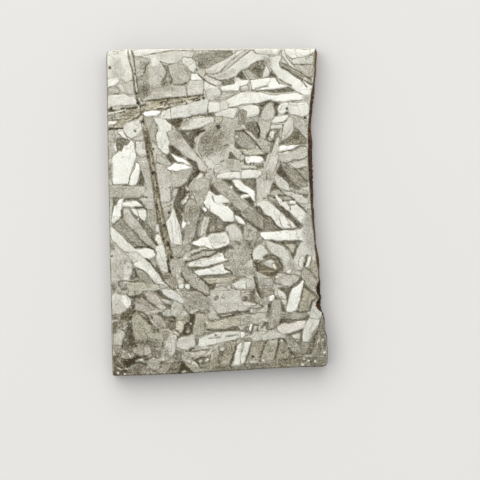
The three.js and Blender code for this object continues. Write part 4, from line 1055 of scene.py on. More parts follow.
# Spans of masks: start and end, and the results there where they aren't 0 and 1. A seam is made crisp,
# broken by the mottle and faded by the blotches, rust keeps to its flakes, and specks are peaks of noise.
SEAM_SHARP = (0.26, 0.62)
SEAM_BREAKS = (0.3, 0.55, 0.25, 1.1)
SEAM_FADES = (0.4, 0.56, 0.25, 0.95)
STAIN_PATCHES = (0.4, 0.62, 1.0, 0.3)
SPECK_SPAN = (0.62, 0.74)

# Roughness of each finish: start and end of what it follows, and the roughness there.
FACE_ROUGHNESS = (0.35, 0.95, 0.62, 0.5)
SAWN_ROUGHNESS = (0.3, 0.7, 0.38, 0.6)
CRUST_ROUGHNESS = (0.3, 0.7, 0.65, 0.95)
FLOOR_ROUGHNESS = 0.8

# How metallic the etched and the sawn metal are, what rust takes off the first, and the crust's gloss.
FACE_METALLIC = 0.75
RUST_DULL = 0.5
SAWN_METALLIC = 0.8
CRUST_SPECULAR = 0.1

# Bump of each finish as strength and depth in mm, and its specks of rust as features per mm and strength.
FACE_BUMP = (0.3, 0.01)
SAWN_BUMP = (0.4, 0.02)
CRUST_BUMP = (0.8, 0.05)
FACE_SPECKS = (2.5, 0.25)
SAWN_SPECKS = (2.2, 0.6)
CRUST_SPECKS = (3.0, 0.7)

# Sawn metal: marks of the saw with their stretch and their turn in half turns, and wide blotches.
SAW_MARKS = (9.0, 0.35)
SAW_STRETCH = 30.0
SAW_TURN = 0.5
SAW_BLOTCH = (0.9, 0.5)

# Crust: coarse grain, ticks that are short along the edge, the height at which a ridge adds nothing and
# how much it adds above, and the span of the sum from the dark colour to the light one.
CRUST_GRAIN = (1.6, 2.9)
CRUST_TICKS = (2.6, 2.2)
TICK_STRETCH = 0.5
RIDGE_MIDDLE = 0.45
RIDGE_LIGHT = 0.6
CRUST_SPAN = (-0.3, 0.7)

# Stage, in metres: half the floor's width, its blotches as features per mm and the share of its colour in
# the darker ones, the light's width, place and colour, the sky's colour, and how near and far a view reaches.
FLOOR_REACH = 1.5
FLOOR_BLOTCH = (0.02, 0.96)
KEY_SIZE = 0.8
KEY_PLACE = (-0.12, 0.28, 0.62)
KEY_COLOUR = (1.0, 0.993, 0.985)
SKY_COLOUR = (0.98, 0.99, 1.0, 1.0)
VIEW_RANGE = (0.01, 10)

# Material slots. The bevel is etched as the face is, but on the crust side only down to this ring.
FACE_SLOT, SIDE_SLOT, CRUST_SLOT = range(3)
CRUST_FIRST = 2

# Fineness of the grid: vertices across the face and down it, rings in the rim's bevel and in the wall, and
# the neighbours on each side that smooth a ring's direction.
ACROSS = 226
DOWN = 332
BEVEL_RINGS = 4
WALL_RINGS = 12
NORMAL_REACH = 2
RANDOM_SEED = 41

# Cells along the left, bottom, crust and top side, and where each side starts on a ring.
SIDE_SIZES = (DOWN - 1, ACROSS - 1, DOWN - 1, ACROSS - 1)
SIDE_STARTS = np.cumsum((0, *SIDE_SIZES))
CRUST_START = SIDE_STARTS[2]
RING_SIZE = SIDE_STARTS[-1]

# Layout for baking, as left, bottom, width and height: the face, the back, and the lowest of the four
# strips of wall, with the step from one strip to the next.
UV_FACE = (0.01, 0.01, 0.63, 0.98)
UV_BACK = (0.655, 0.52, 0.335, 0.47)
UV_STRIP = (0.655, 0.01, 0.335, 0.11)
UV_STRIP_STEP = 0.125


def sheet_points(text):
    """Pairs of across and down from a line of text."""
    return np.array([pair.split(",") for pair in text.split()], float)


def to_part(across, down):
    """Survey sheet to millimetres in the part's frame, x to the right and y up the sheet."""
    return (across - MIDDLE_ACROSS) * SURVEY_UNIT, (MIDDLE_DOWN - down) * SURVEY_UNIT


def ease(share):
    """Smooth step from 0 to 1."""
    share = np.clip(share, 0, 1)
    return share * share * (3 - 2 * share)


def lattice_noise(rng, shape, cells):
    """Smooth noise from -1 to 1: random values on a lattice, eased between its points both ways."""
    lattice = rng.uniform(-1, 1, (cells[0] + 2, cells[1] + 2))
    rows = np.linspace(0, cells[0], shape[0])
    columns = np.linspace(0, cells[1], shape[1])
    row, column = rows.astype(int), columns.astype(int)
    down = ease(rows - row)[:, None]
    along = ease(columns - column)[None, :]
    lines = lattice[:, column] * (1 - along) + lattice[:, column + 1] * along
    return lines[row] * (1 - down) + lines[row + 1] * down


def notch_share(down):
    """How fully a place along the crust lies in one of its hollows, from 0 to 1."""
    shares = [(reach - np.abs(down - middle)) / (reach - core) for middle, core, reach in NOTCHES]
    return ease(np.max(shares, axis=0))


def crust_ridges(down, height):
    """Ridges across the crust: a sum of waves along the edge, between -1 and 1.

    Down the wall the waves lean along the edge, and against each other, so that they break up.
    """
    depth = np.maximum(WALL_HEIGHTS[-1] - height, 0)
    lean = RIDGE_LEAN * depth * np.sin(down / RIDGE_SWING)
    waves = 0
    for strength, pace, phase, way in RIDGE_WAVES:
        turn = (down * SURVEY_UNIT + way * lean) / RIDGE_PITCH * 2 * np.pi
        waves = waves + strength * np.sin(pace * turn + phase)
    return waves / sum(strength for strength, *_ in RIDGE_WAVES)


def outline(height, ridge_height):
    """Outline of the slice at one height, in survey units, as a ring that starts at the upper left corner.

    It runs down the left side, along the bottom, up the crust and back along the top. Left side and crust
    are functions of the distance down, bottom and top of the distance across. The crust lies between its
    front line and its widest line, by the share for its height, and carries the ridges.
    """
    lines = (LEFT_LINE, BOTTOM_LINE, TOP_LINE, CRUST_FRONT, CRUST_WIDEST)
    left, bottom, top, front, widest = (sheet_points(line) for line in lines)
    left_down = np.linspace(UPPER_LEFT[1], LOWER_LEFT[1], DOWN)
    right_down = np.linspace(UPPER_RIGHT[1], LOWER_RIGHT[1], DOWN)
    bottom_across = np.linspace(LOWER_LEFT[0], LOWER_RIGHT[0], ACROSS)
    top_across = np.linspace(UPPER_LEFT[0], UPPER_RIGHT[0], ACROSS)
    reach = np.interp(height, WALL_HEIGHTS, CRUST_REACH)
    hollow = np.interp(height, WALL_HEIGHTS, NOTCH_REACH)
    inside = np.clip(right_down, front[0, 1], front[-1, 1])
    share = reach + (hollow - reach) * notch_share(inside)
    near = np.interp(inside, front[:, 1], front[:, 0])
    far = np.interp(inside, widest[:, 1], widest[:, 0])
    calm = RIDGE_CALM + (1 - RIDGE_CALM) * np.clip(share, 0, 1)
    crust = near + (far - near) * share + crust_ridges(inside, height) * ridge_height / SURVEY_UNIT * calm
    crust = np.minimum(crust, widest[-1, 0])
    ends = ([UPPER_RIGHT[1], front[0, 1]], [front[-1, 1], CRUST_END[1], LOWER_RIGHT[1]])
    above = np.interp(right_down, ends[0], [UPPER_RIGHT[0], crust[0]])
    below = np.interp(right_down, ends[1], [crust[-1], CRUST_END[0], LOWER_RIGHT[0]])
    crust = np.where(right_down < front[0, 1], above, np.where(right_down > front[-1, 1], below, crust))
    sides = (
        (np.interp(left_down, left[:, 1], left[:, 0]), left_down),
        (bottom_across, np.interp(bottom_across, bottom[:, 0], bottom[:, 1])),
        (crust[::-1], right_down[::-1]),
        (top_across[::-1], np.interp(top_across, top[:, 0], top[:, 1])[::-1]),
    )
    return np.concatenate([np.stack(side, axis=1)[:-1] for side in sides])


def ring_normals(ring):
    """Outward direction at each point of a ring, from the tangent over a few neighbours on both sides."""
    steps = range(-NORMAL_REACH, NORMAL_REACH + 1)
    smooth = sum(np.roll(ring, step, axis=0) for step in steps) / len(steps)
    tangent = np.roll(smooth, -NORMAL_REACH, axis=0) - np.roll(smooth, NORMAL_REACH, axis=0)
    tangent /= np.linalg.norm(tangent, axis=1, keepdims=True)
    return np.stack([tangent[:, 1], -tangent[:, 0]], axis=1)


def ring_sides(ring):
    """Splits a ring into its left, bottom, right and top side, each from the left or from above."""
    closed = np.concatenate([ring, ring[:1]])
    left, bottom, right, top = (closed[start:end + 1] for start, end in zip(SIDE_STARTS, SIDE_STARTS[1:]))
    return left, bottom, right[::-1], top[::-1]


def face_grid(ring):
    """Coons patch over a ring: opposite sides are blended both ways, and the corners' share is taken off."""
    left, bottom, right, top = ring_sides(ring)
    u = np.linspace(0, 1, ACROSS)[None, :, None]
    v = np.linspace(0, 1, DOWN)[:, None, None]
    between_sides = (1 - u) * left[:, None] + u * right[:, None]
    between_ends = (1 - v) * top[None] + v * bottom[None]
    corners = (
        (1 - u) * (1 - v) * top[0] + u * (1 - v) * top[-1]
        + (1 - u) * v * bottom[0] + u * v * bottom[-1]
    )
    return between_sides + between_ends - corners


def side_gaps(corners, places, closed):
    """Distance from each place to the nearest point of each side of a line of corners."""
    start = corners if closed else corners[:-1]
    side = (np.roll(corners, -1, axis=0) if closed else corners[1:]) - start
    gap = places[:, None] - start
    length = np.maximum((side ** 2).sum(axis=1), 1e-9)
    share = np.clip((gap * side).sum(axis=2) / length, 0, 1)
    return np.linalg.norm(gap - share[..., None] * side, axis=2)


def inside_outline(corners, places):
    """True where a line to the right crosses the outline an odd number of times."""
    start, end = corners, np.roll(corners, -1, axis=0)
    across, down = places[:, :1], places[:, 1:]
    crosses = (start[:, 1] > down) != (end[:, 1] > down)
    rise = np.where(end[:, 1] == start[:, 1], 1, end[:, 1] - start[:, 1])
    meets = start[:, 0] + (down - start[:, 1]) * (end[:, 0] - start[:, 0]) / rise
    return (crosses & (across < meets)).sum(axis=1) % 2 == 1


def long_axis(corners):
    """Turn that brings the long axis of an outline upright, in half turns.

    The corners spread most along it: half the arc tangent of their mixed spread over the difference of
    their plain ones.
    """
    gap = corners - corners.mean(axis=0)
    across, down = (gap ** 2).sum(axis=0)
    mixed_spread = (gap[:, 0] * gap[:, 1]).sum()
    return 0.5 + 0.5 * np.arctan2(2 * mixed_spread, across - down) / np.pi


class Pattern:
    """Masks of the etched face, painted plate by plate over a set of places on the survey sheet."""

    def __init__(self, places, rng):
        self.places = places
        self.rng = rng
        count = len(places)
        self.tone = np.full(count, MATRIX_TONE)
        self.height = np.zeros(count)
        self.seam = np.zeros(count)
        self.turn = np.zeros(count)
        self.hues = {name: np.zeros(count) for name in HUES.values()}

    def near(self, corners, margin):
        """Indices of the places in the box round some corners."""
        low, high = corners.min(axis=0) - margin, corners.max(axis=0) + margin
        return np.nonzero(((self.places > low) & (self.places < high)).all(axis=1))[0]

    def lay(self, at, cover, tone, stand, hue):
        """Covers places with one kind of metal, as paint over what is there."""
        self.tone[at] += (tone - self.tone[at]) * cover
        self.height[at] += (stand - self.height[at]) * cover
        self.seam[at] *= 1 - cover
        for letter, name in HUES.items():
            goal = 1.0 if letter == hue else 0.0
            self.hues[name][at] += (goal - self.hues[name][at]) * cover

    def mark(self, at, cover, tone, depth, hue):
        """Colours places as a line or a spot does, and lowers them by its depth."""
        height = self.height[at] - depth * cover
        self.lay(at, cover, tone, 0, hue)
        self.height[at] = height

    def plate(self, kind, hue, soft, corners):
        """One plate. Cover is 1 inside and fades over its edge, and a fine dark seam follows its outline.

        Where a softness is given, the edge fades over that width instead and has no seam.
        """
        at = self.near(corners, max(soft, EDGE_FADE + SEAM_WIDTH))
        if not len(at):
            return
        gaps = side_gaps(corners, self.places[at], True)
        sign = np.where(inside_outline(corners, self.places[at]), 1, -1)
        away = sign * gaps.min(axis=1)
        cover = ease(0.5 + away / (soft or EDGE_FADE))
        shift = self.rng.uniform(-1, 1, 4)
        tilt = (self.places[at] - corners.mean(axis=0)) @ shift[:2] * PLATE_TILT
        tone = TONES[kind] + shift[2] * PLATE_VARIETY + np.clip(tilt, -TILT_LIMIT, TILT_LIMIT)
        self.lay(at, cover, tone, STANDS[kind[0]], hue)
        self.turn[at] += (long_axis(corners) + shift[3] * AXIS_SPREAD - self.turn[at]) * (cover > 0.5)
        after = np.roll(corners, -1, axis=0)
        cut = (corners[:, 1] == after[:, 1]) & np.isin(corners[:, 1], STRIP_LINES)
        cut |= (corners[:, 0] == after[:, 0]) & np.isin(corners[:, 0], STRIP_COLUMNS)
        if not cut.all() and not soft:
            edge = gaps[:, ~cut].min(axis=1)
            self.seam[at] = np.maximum(self.seam[at], np.clip(1 - edge / SEAM_WIDTH, 0, 1) * PLATE_SEAM)

    def line(self, kind, hue, width, corners):
        """A seam, crack or bright streak of even width, whose depth fades with its edges."""
        at = self.near(corners, width)
        if not len(at):
            return
        away = width / 2 - side_gaps(corners, self.places[at], False).min(axis=1)
        cover = np.clip(0.5 + away / LINE_FADE, 0, 1)
        dark = kind in "DKX"
        depth = CRACK_DEPTH if hue == "r" else SEAM_DEPTH
        self.mark(at, cover, TONES[kind] - dark * LINE_DEEPER, dark * depth, hue)

    def spot(self, across, down, radius):
        """A round pit, or a bright speck where the radius is below 0."""
        corner = np.array([[across, down]])
        at = self.near(corner, abs(radius) + 1)
        away = abs(radius) - np.linalg.norm(self.places[at] - corner, axis=1)
        dark = radius > 0
        self.mark(at, np.clip(0.5 + away, 0, 1), TONES["X" if dark else "W"], dark * SPOT_DEPTH, "")


def read_mark(text):
    """Splits one entry into its kind, hue letter, width and corners."""
    head, _, rest = text.partition(" ")
    kind, hue, width = re.fullmatch(r"([A-Z][+-]?)([a-z]?)([\d.]*)", head).groups()
    return kind, hue, float(width or 0), sheet_points(rest)


def entries(text):
    """Entries of a block of text, one to a line, where a line that starts with a space goes on."""
    return text.strip().replace("\n ", " ").split("\n")


def paint_pattern(places, rng):
    """The whole etched pattern over some places: plates and fields first, then seams, cracks and pits."""
    for reach, cells in EDGE_SWAY:
        sway = [lattice_noise(rng, (DOWN, ACROSS), cells).ravel() for _ in range(2)]
        places = places + reach * np.stack(sway, axis=1)
    pattern = Pattern(places, rng)
    for entry in entries(PLATES):
        pattern.plate(*read_mark(entry))
    for entry in entries(LINES):
        pattern.line(*read_mark(entry))
    for across, down, radius in (map(float, spot.split(",")) for spot in SPOTS.split()):
        pattern.spot(across, down, radius)
    return pattern


def slice_rings(sizes, rng):
    """Rings of the slice from the rim of its face down to its back, as (points, heights), in millimetres.

    The rim is a quarter round that starts just below the plates. The wall is the outline at each height,
    its crust pitted by noise that only goes inwards, and the last ring is drawn in by the back's bevel.
    """
    thick, bevel, back = sizes.thickness / MM, sizes.bevel / MM, sizes.back_bevel / MM
    ridge, pitting = sizes.crust_ridge / MM, sizes.crust_pitting / MM
    edge = np.stack(to_part(*outline(thick - bevel, ridge).T), axis=1)
    outward = ring_normals(edge)
    rings = []
    for angle in np.linspace(0, 1, BEVEL_RINGS + 1) * np.pi / 2:
        points = edge - outward * bevel * (1 - np.sin(angle))
        height = thick - RIM_DROP - (bevel - RIM_DROP) * (1 - np.cos(angle))
        rings.append((points, np.full(RING_SIZE, height)))
    rows = np.arange(DOWN)
    ends = ease(np.minimum(rows, rows[::-1]) / PIT_FADE)
    heights = np.linspace(thick - bevel, back, WALL_RINGS + 1)[1:]
    lumps = sum(size * lattice_noise(rng, (WALL_RINGS, DOWN), cells) for size, cells in CRUST_LUMPS)
    for height, lump in zip(heights, lumps):
        ring = np.stack(to_part(*outline(height, ridge).T), axis=1)
        pull = np.zeros((RING_SIZE, 1))
        pull[CRUST_START:CRUST_START + DOWN, 0] = (1 + lump) * ends * pitting
        rings.append((ring - ring_normals(ring) * pull, np.full(RING_SIZE, height)))
    points, _ = rings[-1]
    rings.append((points - ring_normals(points) * back, np.zeros(RING_SIZE)))
    return rings


def surface_heights(pattern, sizes):
    """Height of the etched face: the pattern's relief below the full thickness, eased out to the rim."""
    thick = sizes.thickness / MM
    height = thick - (STANDS["W"] - pattern.height) * sizes.relief
    row, column = np.mgrid[0:DOWN, 0:ACROSS]
    cells = np.minimum.reduce([row, DOWN - 1 - row, column, ACROSS - 1 - column]).ravel()
    rim = thick - RIM_DROP
    return rim + (np.minimum(height, thick) - rim) * ease(cells / RIM_CELLS)


def slice_faces(ring_count):
    """Corner indices of the face's quads, of the bands between the rings, and of the back."""
    row, column = np.mgrid[0:DOWN - 1, 0:ACROSS - 1]
    first = (row * ACROSS + column).ravel()
    grid = np.stack([first, first + ACROSS, first + ACROSS + 1, first + 1], axis=1)
    rows, columns = np.arange(DOWN), np.arange(ACROSS)
    rim = np.concatenate([
        rows[:-1] * ACROSS, (DOWN - 1) * ACROSS + columns[:-1],
        (rows[::-1] * ACROSS + ACROSS - 1)[:-1], columns[::-1][:-1],
    ])
    below = [ACROSS * DOWN + RING_SIZE * level + np.arange(RING_SIZE) for level in range(ring_count - 1)]
    bands = [
        np.stack([upper, lower, np.roll(lower, -1), np.roll(upper, -1)], axis=1)
        for upper, lower in zip([rim] + below, below)
    ]
    return grid, bands, below[-1][::-1]


def write_attribute(mesh, name, values):
    """Stores one number per vertex under a name that the materials read."""
    attribute = mesh.attributes.new(name, "FLOAT", "POINT")
    attribute.data.foreach_set("value", np.ascontiguousarray(values, np.float32))


def layout_uv(mesh, grid, bands):
    """Flat layout for baking: the face on the left, the back at the upper right, wall strips below it."""
    places = np.array([vertex.co for vertex in mesh.vertices])[:, :2]
    low, high = places.min(axis=0), places.max(axis=0)
    loops = np.zeros(len(mesh.loops), int)
    mesh.loops.foreach_get("vertex_index", loops)
    uv = UV_BACK[:2] + ((places - low) / (high - low))[loops] * UV_BACK[2:]
    rows, columns = np.divmod(grid.ravel(), ACROSS)
    left, bottom, width, height = UV_FACE
    uv[:grid.size, 0] = left + width * columns / (ACROSS - 1)
    uv[:grid.size, 1] = bottom + height * (1 - rows / (DOWN - 1))
    step = np.arange(RING_SIZE)
    side = np.searchsorted(SIDE_STARTS, step, side="right") - 1
    begin = (step - SIDE_STARTS[side]) / (DOWN - 1)
    end = begin + 1 / (DOWN - 1)
    left, bottom, width, height = UV_STRIP
    for level, band in enumerate(bands):
        start = grid.size + level * band.size
        strip = uv[start:start + band.size].reshape(RING_SIZE, 4, 2)
        depth = np.array([level, level + 1, level + 1, level]) / len(bands)
        strip[:, :, 0] = left + width * np.stack([begin, begin, end, end], axis=1)
        strip[:, :, 1] = bottom + side[:, None] * UV_STRIP_STEP + height * (1 - depth)
    layer = mesh.uv_layers.new(name="OFBake")
    layer.data.foreach_set("uv", np.ascontiguousarray(uv, np.float32).ravel())


def vertex_masks(pattern, rings):
    """Masks of all vertices by name: the pattern's on the face, and the rim's and crust's on the wall."""
    levels = len(rings) - 1
    rim_down = MIDDLE_DOWN - rings[0][0][:, 1] / SURVEY_UNIT
    heights = np.stack([heights for _, heights in rings[1:]])
    face = {"tone": pattern.tone, "seam": pattern.seam, "turn": pattern.turn, **pattern.hues}
    wall = {
        # The rim's tone on each side is painted light: a painted highlight along the top, painted shade along
        # the bottom and the left.
        "tone": np.tile(np.repeat(RIM_PAINTED_LIGHT, SIDE_SIZES), levels),
        "tan": np.tile(np.interp(rim_down, *np.transpose(CRUST_TAN)), levels),
        "ridge": (0.5 + 0.5 * crust_ridges(rim_down, heights)).ravel(),
    }
    bare_face, bare_wall = np.zeros(DOWN * ACROSS), np.zeros(RING_SIZE * levels)
    names = {**face, **wall}
    return {name: np.concatenate([face.get(name, bare_face), wall.get(name, bare_wall)]) for name in names}


def material_slots(bands):
    """Material slot of each polygon: the etched face and its rim, then crust or sawn metal, and the back."""
    crust_side = np.zeros(RING_SIZE, bool)
    crust_side[CRUST_START:CRUST_START + DOWN - 1] = True
    slots = [np.full((DOWN - 1) * (ACROSS - 1), FACE_SLOT)]
    for level in range(len(bands)):
        plain = FACE_SLOT if level < BEVEL_RINGS else SIDE_SLOT
        rough = FACE_SLOT if level < CRUST_FIRST else CRUST_SLOT
        slots.append(np.where(crust_side, rough, plain))
    return np.concatenate(slots + [[SIDE_SLOT]]).astype(np.int32)


def build_slice(sizes):
    """Closed mesh of the slice with the pattern's masks on its vertices. Only the flat back isn't smooth."""
    rng = np.random.default_rng(RANDOM_SEED)
    rings = slice_rings(sizes, rng)
    face_points = face_grid(rings[0][0]).reshape(-1, 2)
    across = face_points[:, 0] / SURVEY_UNIT + MIDDLE_ACROSS
    down = MIDDLE_DOWN - face_points[:, 1] / SURVEY_UNIT
    pattern = paint_pattern(np.stack([across, down], axis=1), rng)
    top = np.column_stack([face_points, surface_heights(pattern, sizes)])
    wall = [np.column_stack(ring) for ring in rings[1:]]
    vertices = np.concatenate([top] + wall) * MM
    grid, bands, back = slice_faces(len(rings))
    quads = np.concatenate([grid] + bands)
    mesh = bpy.data.meshes.new("etched_slice")
    mesh.from_pydata(vertices.tolist(), [], quads.tolist() + [back.tolist()])
    mesh.polygons.foreach_set("use_smooth", np.arange(len(quads) + 1) < len(quads))
    mesh.polygons.foreach_set("material_index", material_slots(bands))
    for name, values in vertex_masks(pattern, rings).items():
        write_attribute(mesh, name, values)
    layout_uv(mesh, grid, bands)
    mesh.validate()
    mesh.update()
    return mesh


def plug(tree, socket, value):
    """Links a socket to another one, or sets it to a value."""
    if isinstance(value, bpy.types.NodeSocket):
        tree.links.new(value, socket)
    else:
        socket.default_value = value


def add(tree, kind, inputs=None, **settings):
    """Adds a shader node, sets its properties, and sets or links its inputs by name or number."""
    made = tree.nodes.new("ShaderNode" + kind)
    for name, value in settings.items():
        setattr(made, name, value)
    for name, value in (inputs or {}).items():
        plug(tree, made.inputs[name], value)
    return made


def math(tree, operation, *values):
    """Result of a Math node."""
    return add(tree, "Math", dict(enumerate(values)), operation=operation).outputs[0]


def total(tree, first, *others):
    """Sum of several values."""
    for other in others:
        first = math(tree, "ADD", first, other)
    return first


def product(tree, first, *others):
    """Product of several values."""
    for other in others:
        first = math(tree, "MULTIPLY", first, other)
    return first


def ranged(tree, value, start, end, low=0.0, high=1.0):
    """Value moved from one span to another, and held at the ends."""
    return add(tree, "MapRange", {0: value, 1: start, 2: end, 3: low, 4: high}).outputs[0]


def noise(tree, place, scale, detail, output="Fac"):
    """Plain noise over a place, by features per millimetre."""
    return add(tree, "TexNoise", {"Vector": place, "Scale": scale, "Detail": detail}).outputs[output]


def mixed(tree, factor, first, second, blend="MIX"):
    """Two colours mixed by a factor. A colour without its fourth value is opaque."""
    first, second = ((*each, 1.0) if isinstance(each, mathutils.Color) else each for each in (first, second))
    node = add(tree, "Mix", {0: factor, 6: first, 7: second}, data_type="RGBA", blend_type=blend)
    return node.outputs[2]


def mask(tree, name):
    """A vertex mask of the mesh."""
    return add(tree, "Attribute", attribute_name=name).outputs["Fac"]


def new_group(name, inputs, outputs):
    """Empty node group with named float sockets, or vector ones where the default is None."""
    group = bpy.data.node_groups.new(name, "ShaderNodeTree")
    for label, default in inputs.items():
        kind = "NodeSocketVector" if default is None else "NodeSocketFloat"
        socket = group.interface.new_socket(label, in_out="INPUT", socket_type=kind)
        if default is not None:
            socket.default_value = default
    for label in outputs:
        group.interface.new_socket(label, in_out="OUTPUT", socket_type="NodeSocketFloat")
    return group, group.nodes.new("NodeGroupInput"), group.nodes.new("NodeGroupOutput")


def metal_grain_group():
    """Grain of cut metal: noise drawn out along a direction that turns, as a shade about 0 and a height."""
    inputs = {"Vector": None, "Scale": 5.0, "Stretch": 1.0, "Turn": 0.0, "Amount": 0.1}
    group, source, result = new_group("metal_grain", inputs, ("Shade", "Height"))
    sockets = source.outputs
    angle = product(group, sockets["Turn"], np.pi)
    turned = add(group, "VectorRotate", {"Vector": sockets["Vector"], "Angle": angle}, rotation_type="Z_AXIS")
    across, along, up = add(group, "SeparateXYZ", {0: turned.outputs[0]}).outputs
    drawn = math(group, "DIVIDE", along, sockets["Stretch"])
    settings = {
        "Vector": add(group, "CombineXYZ", {0: across, 1: drawn, 2: up}).outputs[0],
        "Scale": sockets["Scale"], "Detail": GRAIN_DETAIL, "Roughness": GRAIN_ROUGHNESS,
    }
    height = add(group, "TexNoise", settings).outputs["Fac"]
    shade = product(group, math(group, "SUBTRACT", height, 0.5), sockets["Amount"])
    group.links.new(shade, result.inputs["Shade"])
    group.links.new(height, result.inputs["Height"])
    return group


def rust_speck_group():
    """Fine specks of rust and dirt: noise cut off high, so that only its peaks show."""
    inputs = {"Vector": None, "Scale": 4.0, "Amount": 0.3}
    group, source, result = new_group("rust_specks", inputs, ("Mask",))
    sockets = source.outputs
    peaks = ranged(group, noise(group, sockets["Vector"], sockets["Scale"], 2.0), *SPECK_SPAN)
    group.links.new(product(group, peaks, sockets["Amount"]), result.inputs["Mask"])
    return group


def new_material(name):
    """Material with an empty tree but for its Principled BSDF, and Object coordinates in millimetres."""
    material = bpy.data.materials.new(name)
    material.use_nodes = True
    tree = material.node_tree
    shader = tree.nodes["Principled BSDF"]
    coords = add(tree, "TexCoord").outputs["Object"]
    place = add(tree, "Mapping", {"Vector": coords, "Scale": (1 / MM,) * 3}).outputs[0]
    return material, tree, shader, place


def use_group(tree, group, **inputs):
    """Outputs of one use of a node group. Inputs are values or sockets by name."""
    node = tree.nodes.new("ShaderNodeGroup")
    node.node_tree = group
    for name, value in inputs.items():
        plug(tree, node.inputs[name], value)
    return node.outputs


def grain(tree, group, place, strength, stretch=1.0, turn=0.0):
    """One use of the grain group, by its features per millimetre and the amount that they change."""
    scale, amount = strength
    return use_group(tree, group, Vector=place, Scale=scale, Stretch=stretch, Turn=turn, Amount=amount)


def specks(tree, group, place, strength):
    """One use of the rust speck group, by its features per millimetre and the amount of rust."""
    scale, amount = strength
    return use_group(tree, group, Vector=place, Scale=scale, Amount=amount)["Mask"]


def finish(tree, shader, colour, roughness, height, bump):
    """Colour, roughness and bump of a shader. The bump is a strength and a depth in millimetres."""
    strength, depth = bump
    lift = add(tree, "Bump", {"Strength": strength, "Distance": depth * MM, "Height": height})
    tree.links.new(colour, shader.inputs["Base Color"])
    tree.links.new(roughness, shader.inputs["Roughness"])
    tree.links.new(lift.outputs[0], shader.inputs["Normal"])


def as_linear(shown):
    """Seen colour, 0 to 255, to the linear colour that a shader takes, by the standard screen curve."""
    share = np.array(shown, float) / 255
    low, high = share / 12.92, ((share + 0.055) / 1.055) ** 2.4
    return (*np.where(share <= 0.04045, low, high).tolist(), 1.0)


def hairlines(tree, place):
    """Mask of a few fine dark lines: borders of swayed cells, kept where a coarse noise is high."""
    reach, scale = HAIRLINE_SWAY
    sway = noise(tree, place, scale, 2.0, "Color")
    sway = add(tree, "VectorMath", {0: sway, 1: (reach,) * 3}, operation="MULTIPLY").outputs[0]
    moved = add(tree, "VectorMath", {0: place, 1: sway}, operation="ADD").outputs[0]
    cells = add(tree, "TexVoronoi", {"Vector": moved, "Scale": HAIRLINE_SCALE}, feature="DISTANCE_TO_EDGE")
    lines = ranged(tree, cells.outputs[0], 0.0, HAIRLINE_WIDTH, 1.0, 0.0)
    kept = ranged(tree, noise(tree, place, HAIRLINE_PATCHES, 1.0), *HAIRLINE_SPAN)
    return product(tree, lines, kept)


def stirred_lightness(tree, tone, rust, grains):
    """Lightness of the plates, stirred by grain, more on dark metal than on bright, and by rust flakes."""
    mottle, blotch, brushed, flakes = (outputs["Shade"] for outputs in grains)
    uneven = product(tree, total(tree, mottle, blotch, brushed), ranged(tree, tone, *STIR))
    return total(tree, tone, uneven, product(tree, flakes, rust))


def seam_mask(tree, mottle, blotch):
    """Mask of the plates' seams: made crisp, broken by the mottle and faded by the blotches."""
    crisp = ranged(tree, mask(tree, "seam"), *SEAM_SHARP)
    broken = ranged(tree, mottle["Height"], *SEAM_BREAKS)
    faded = ranged(tree, blotch["Height"], *SEAM_FADES)
    return product(tree, crisp, broken, faded)


def metal_colour(tree, lightness):
    """Colour of the metal at each lightness, and the plates' hues over it."""
    ramp = add(tree, "ValToRGB", {0: lightness})
    elements = ramp.color_ramp.elements
    for _ in METAL_COLOURS[2:]:
        elements.new(1)
    for element, (position, shown) in zip(elements, METAL_COLOURS):
        element.position, element.color = position, as_linear(shown)
    colour = ramp.outputs[0]
    for name, strength, hue in HUE_COLOURS:
        colour = mixed(tree, product(tree, mask(tree, name), strength), colour, hue, "MULTIPLY")
    return colour


def etched_face_material(grain_group, speck_group, colours):
    """Etched iron: plates of many tones stirred by grain, with dark seams, hairlines, hues and rust."""
    material, tree, shader, place = new_material("etched_iron")
    # On the rim's bevel the tone mask holds painted light: a painted highlight on the top side and painted
    # shade on the bottom and left.
    tone, rust, turn = (mask(tree, name) for name in ("tone", "rust", "turn"))
    mottle = grain(tree, grain_group, place, MOTTLE)
    blotch = grain(tree, grain_group, place, BLOTCH)
    brushed = grain(tree, grain_group, place, BRUSH, BRUSH_STRETCH, turn)
    flakes = grain(tree, grain_group, place, RUST_FLAKES, FLAKE_STRETCH, turn)
    lightness = stirred_lightness(tree, tone, rust, (mottle, blotch, brushed, flakes))
    lines = product(tree, hairlines(tree, place), HAIRLINE_DEPTH)
    lightness = math(tree, "SUBTRACT", lightness, lines)
    seams = seam_mask(tree, mottle, blotch)
    lightness = add(tree, "Mix", {0: seams, 2: lightness, 3: SEAM_TONE}, data_type="FLOAT").outputs[0]
    stain = product(tree, rust, ranged(tree, flakes["Height"], *STAIN_PATCHES))
    stain = total(tree, stain, specks(tree, speck_group, place, FACE_SPECKS))
    colour = mixed(tree, stain, metal_colour(tree, lightness), colours.rust, "MULTIPLY")
    dull = product(tree, rust, RUST_DULL)
    tree.links.new(math(tree, "SUBTRACT", FACE_METALLIC, dull), shader.inputs["Metallic"])
    roughness = total(tree, ranged(tree, lightness, *FACE_ROUGHNESS), mottle["Shade"])
    finish(tree, shader, colour, roughness, total(tree, mottle["Height"], brushed["Height"]), FACE_BUMP)
    return material


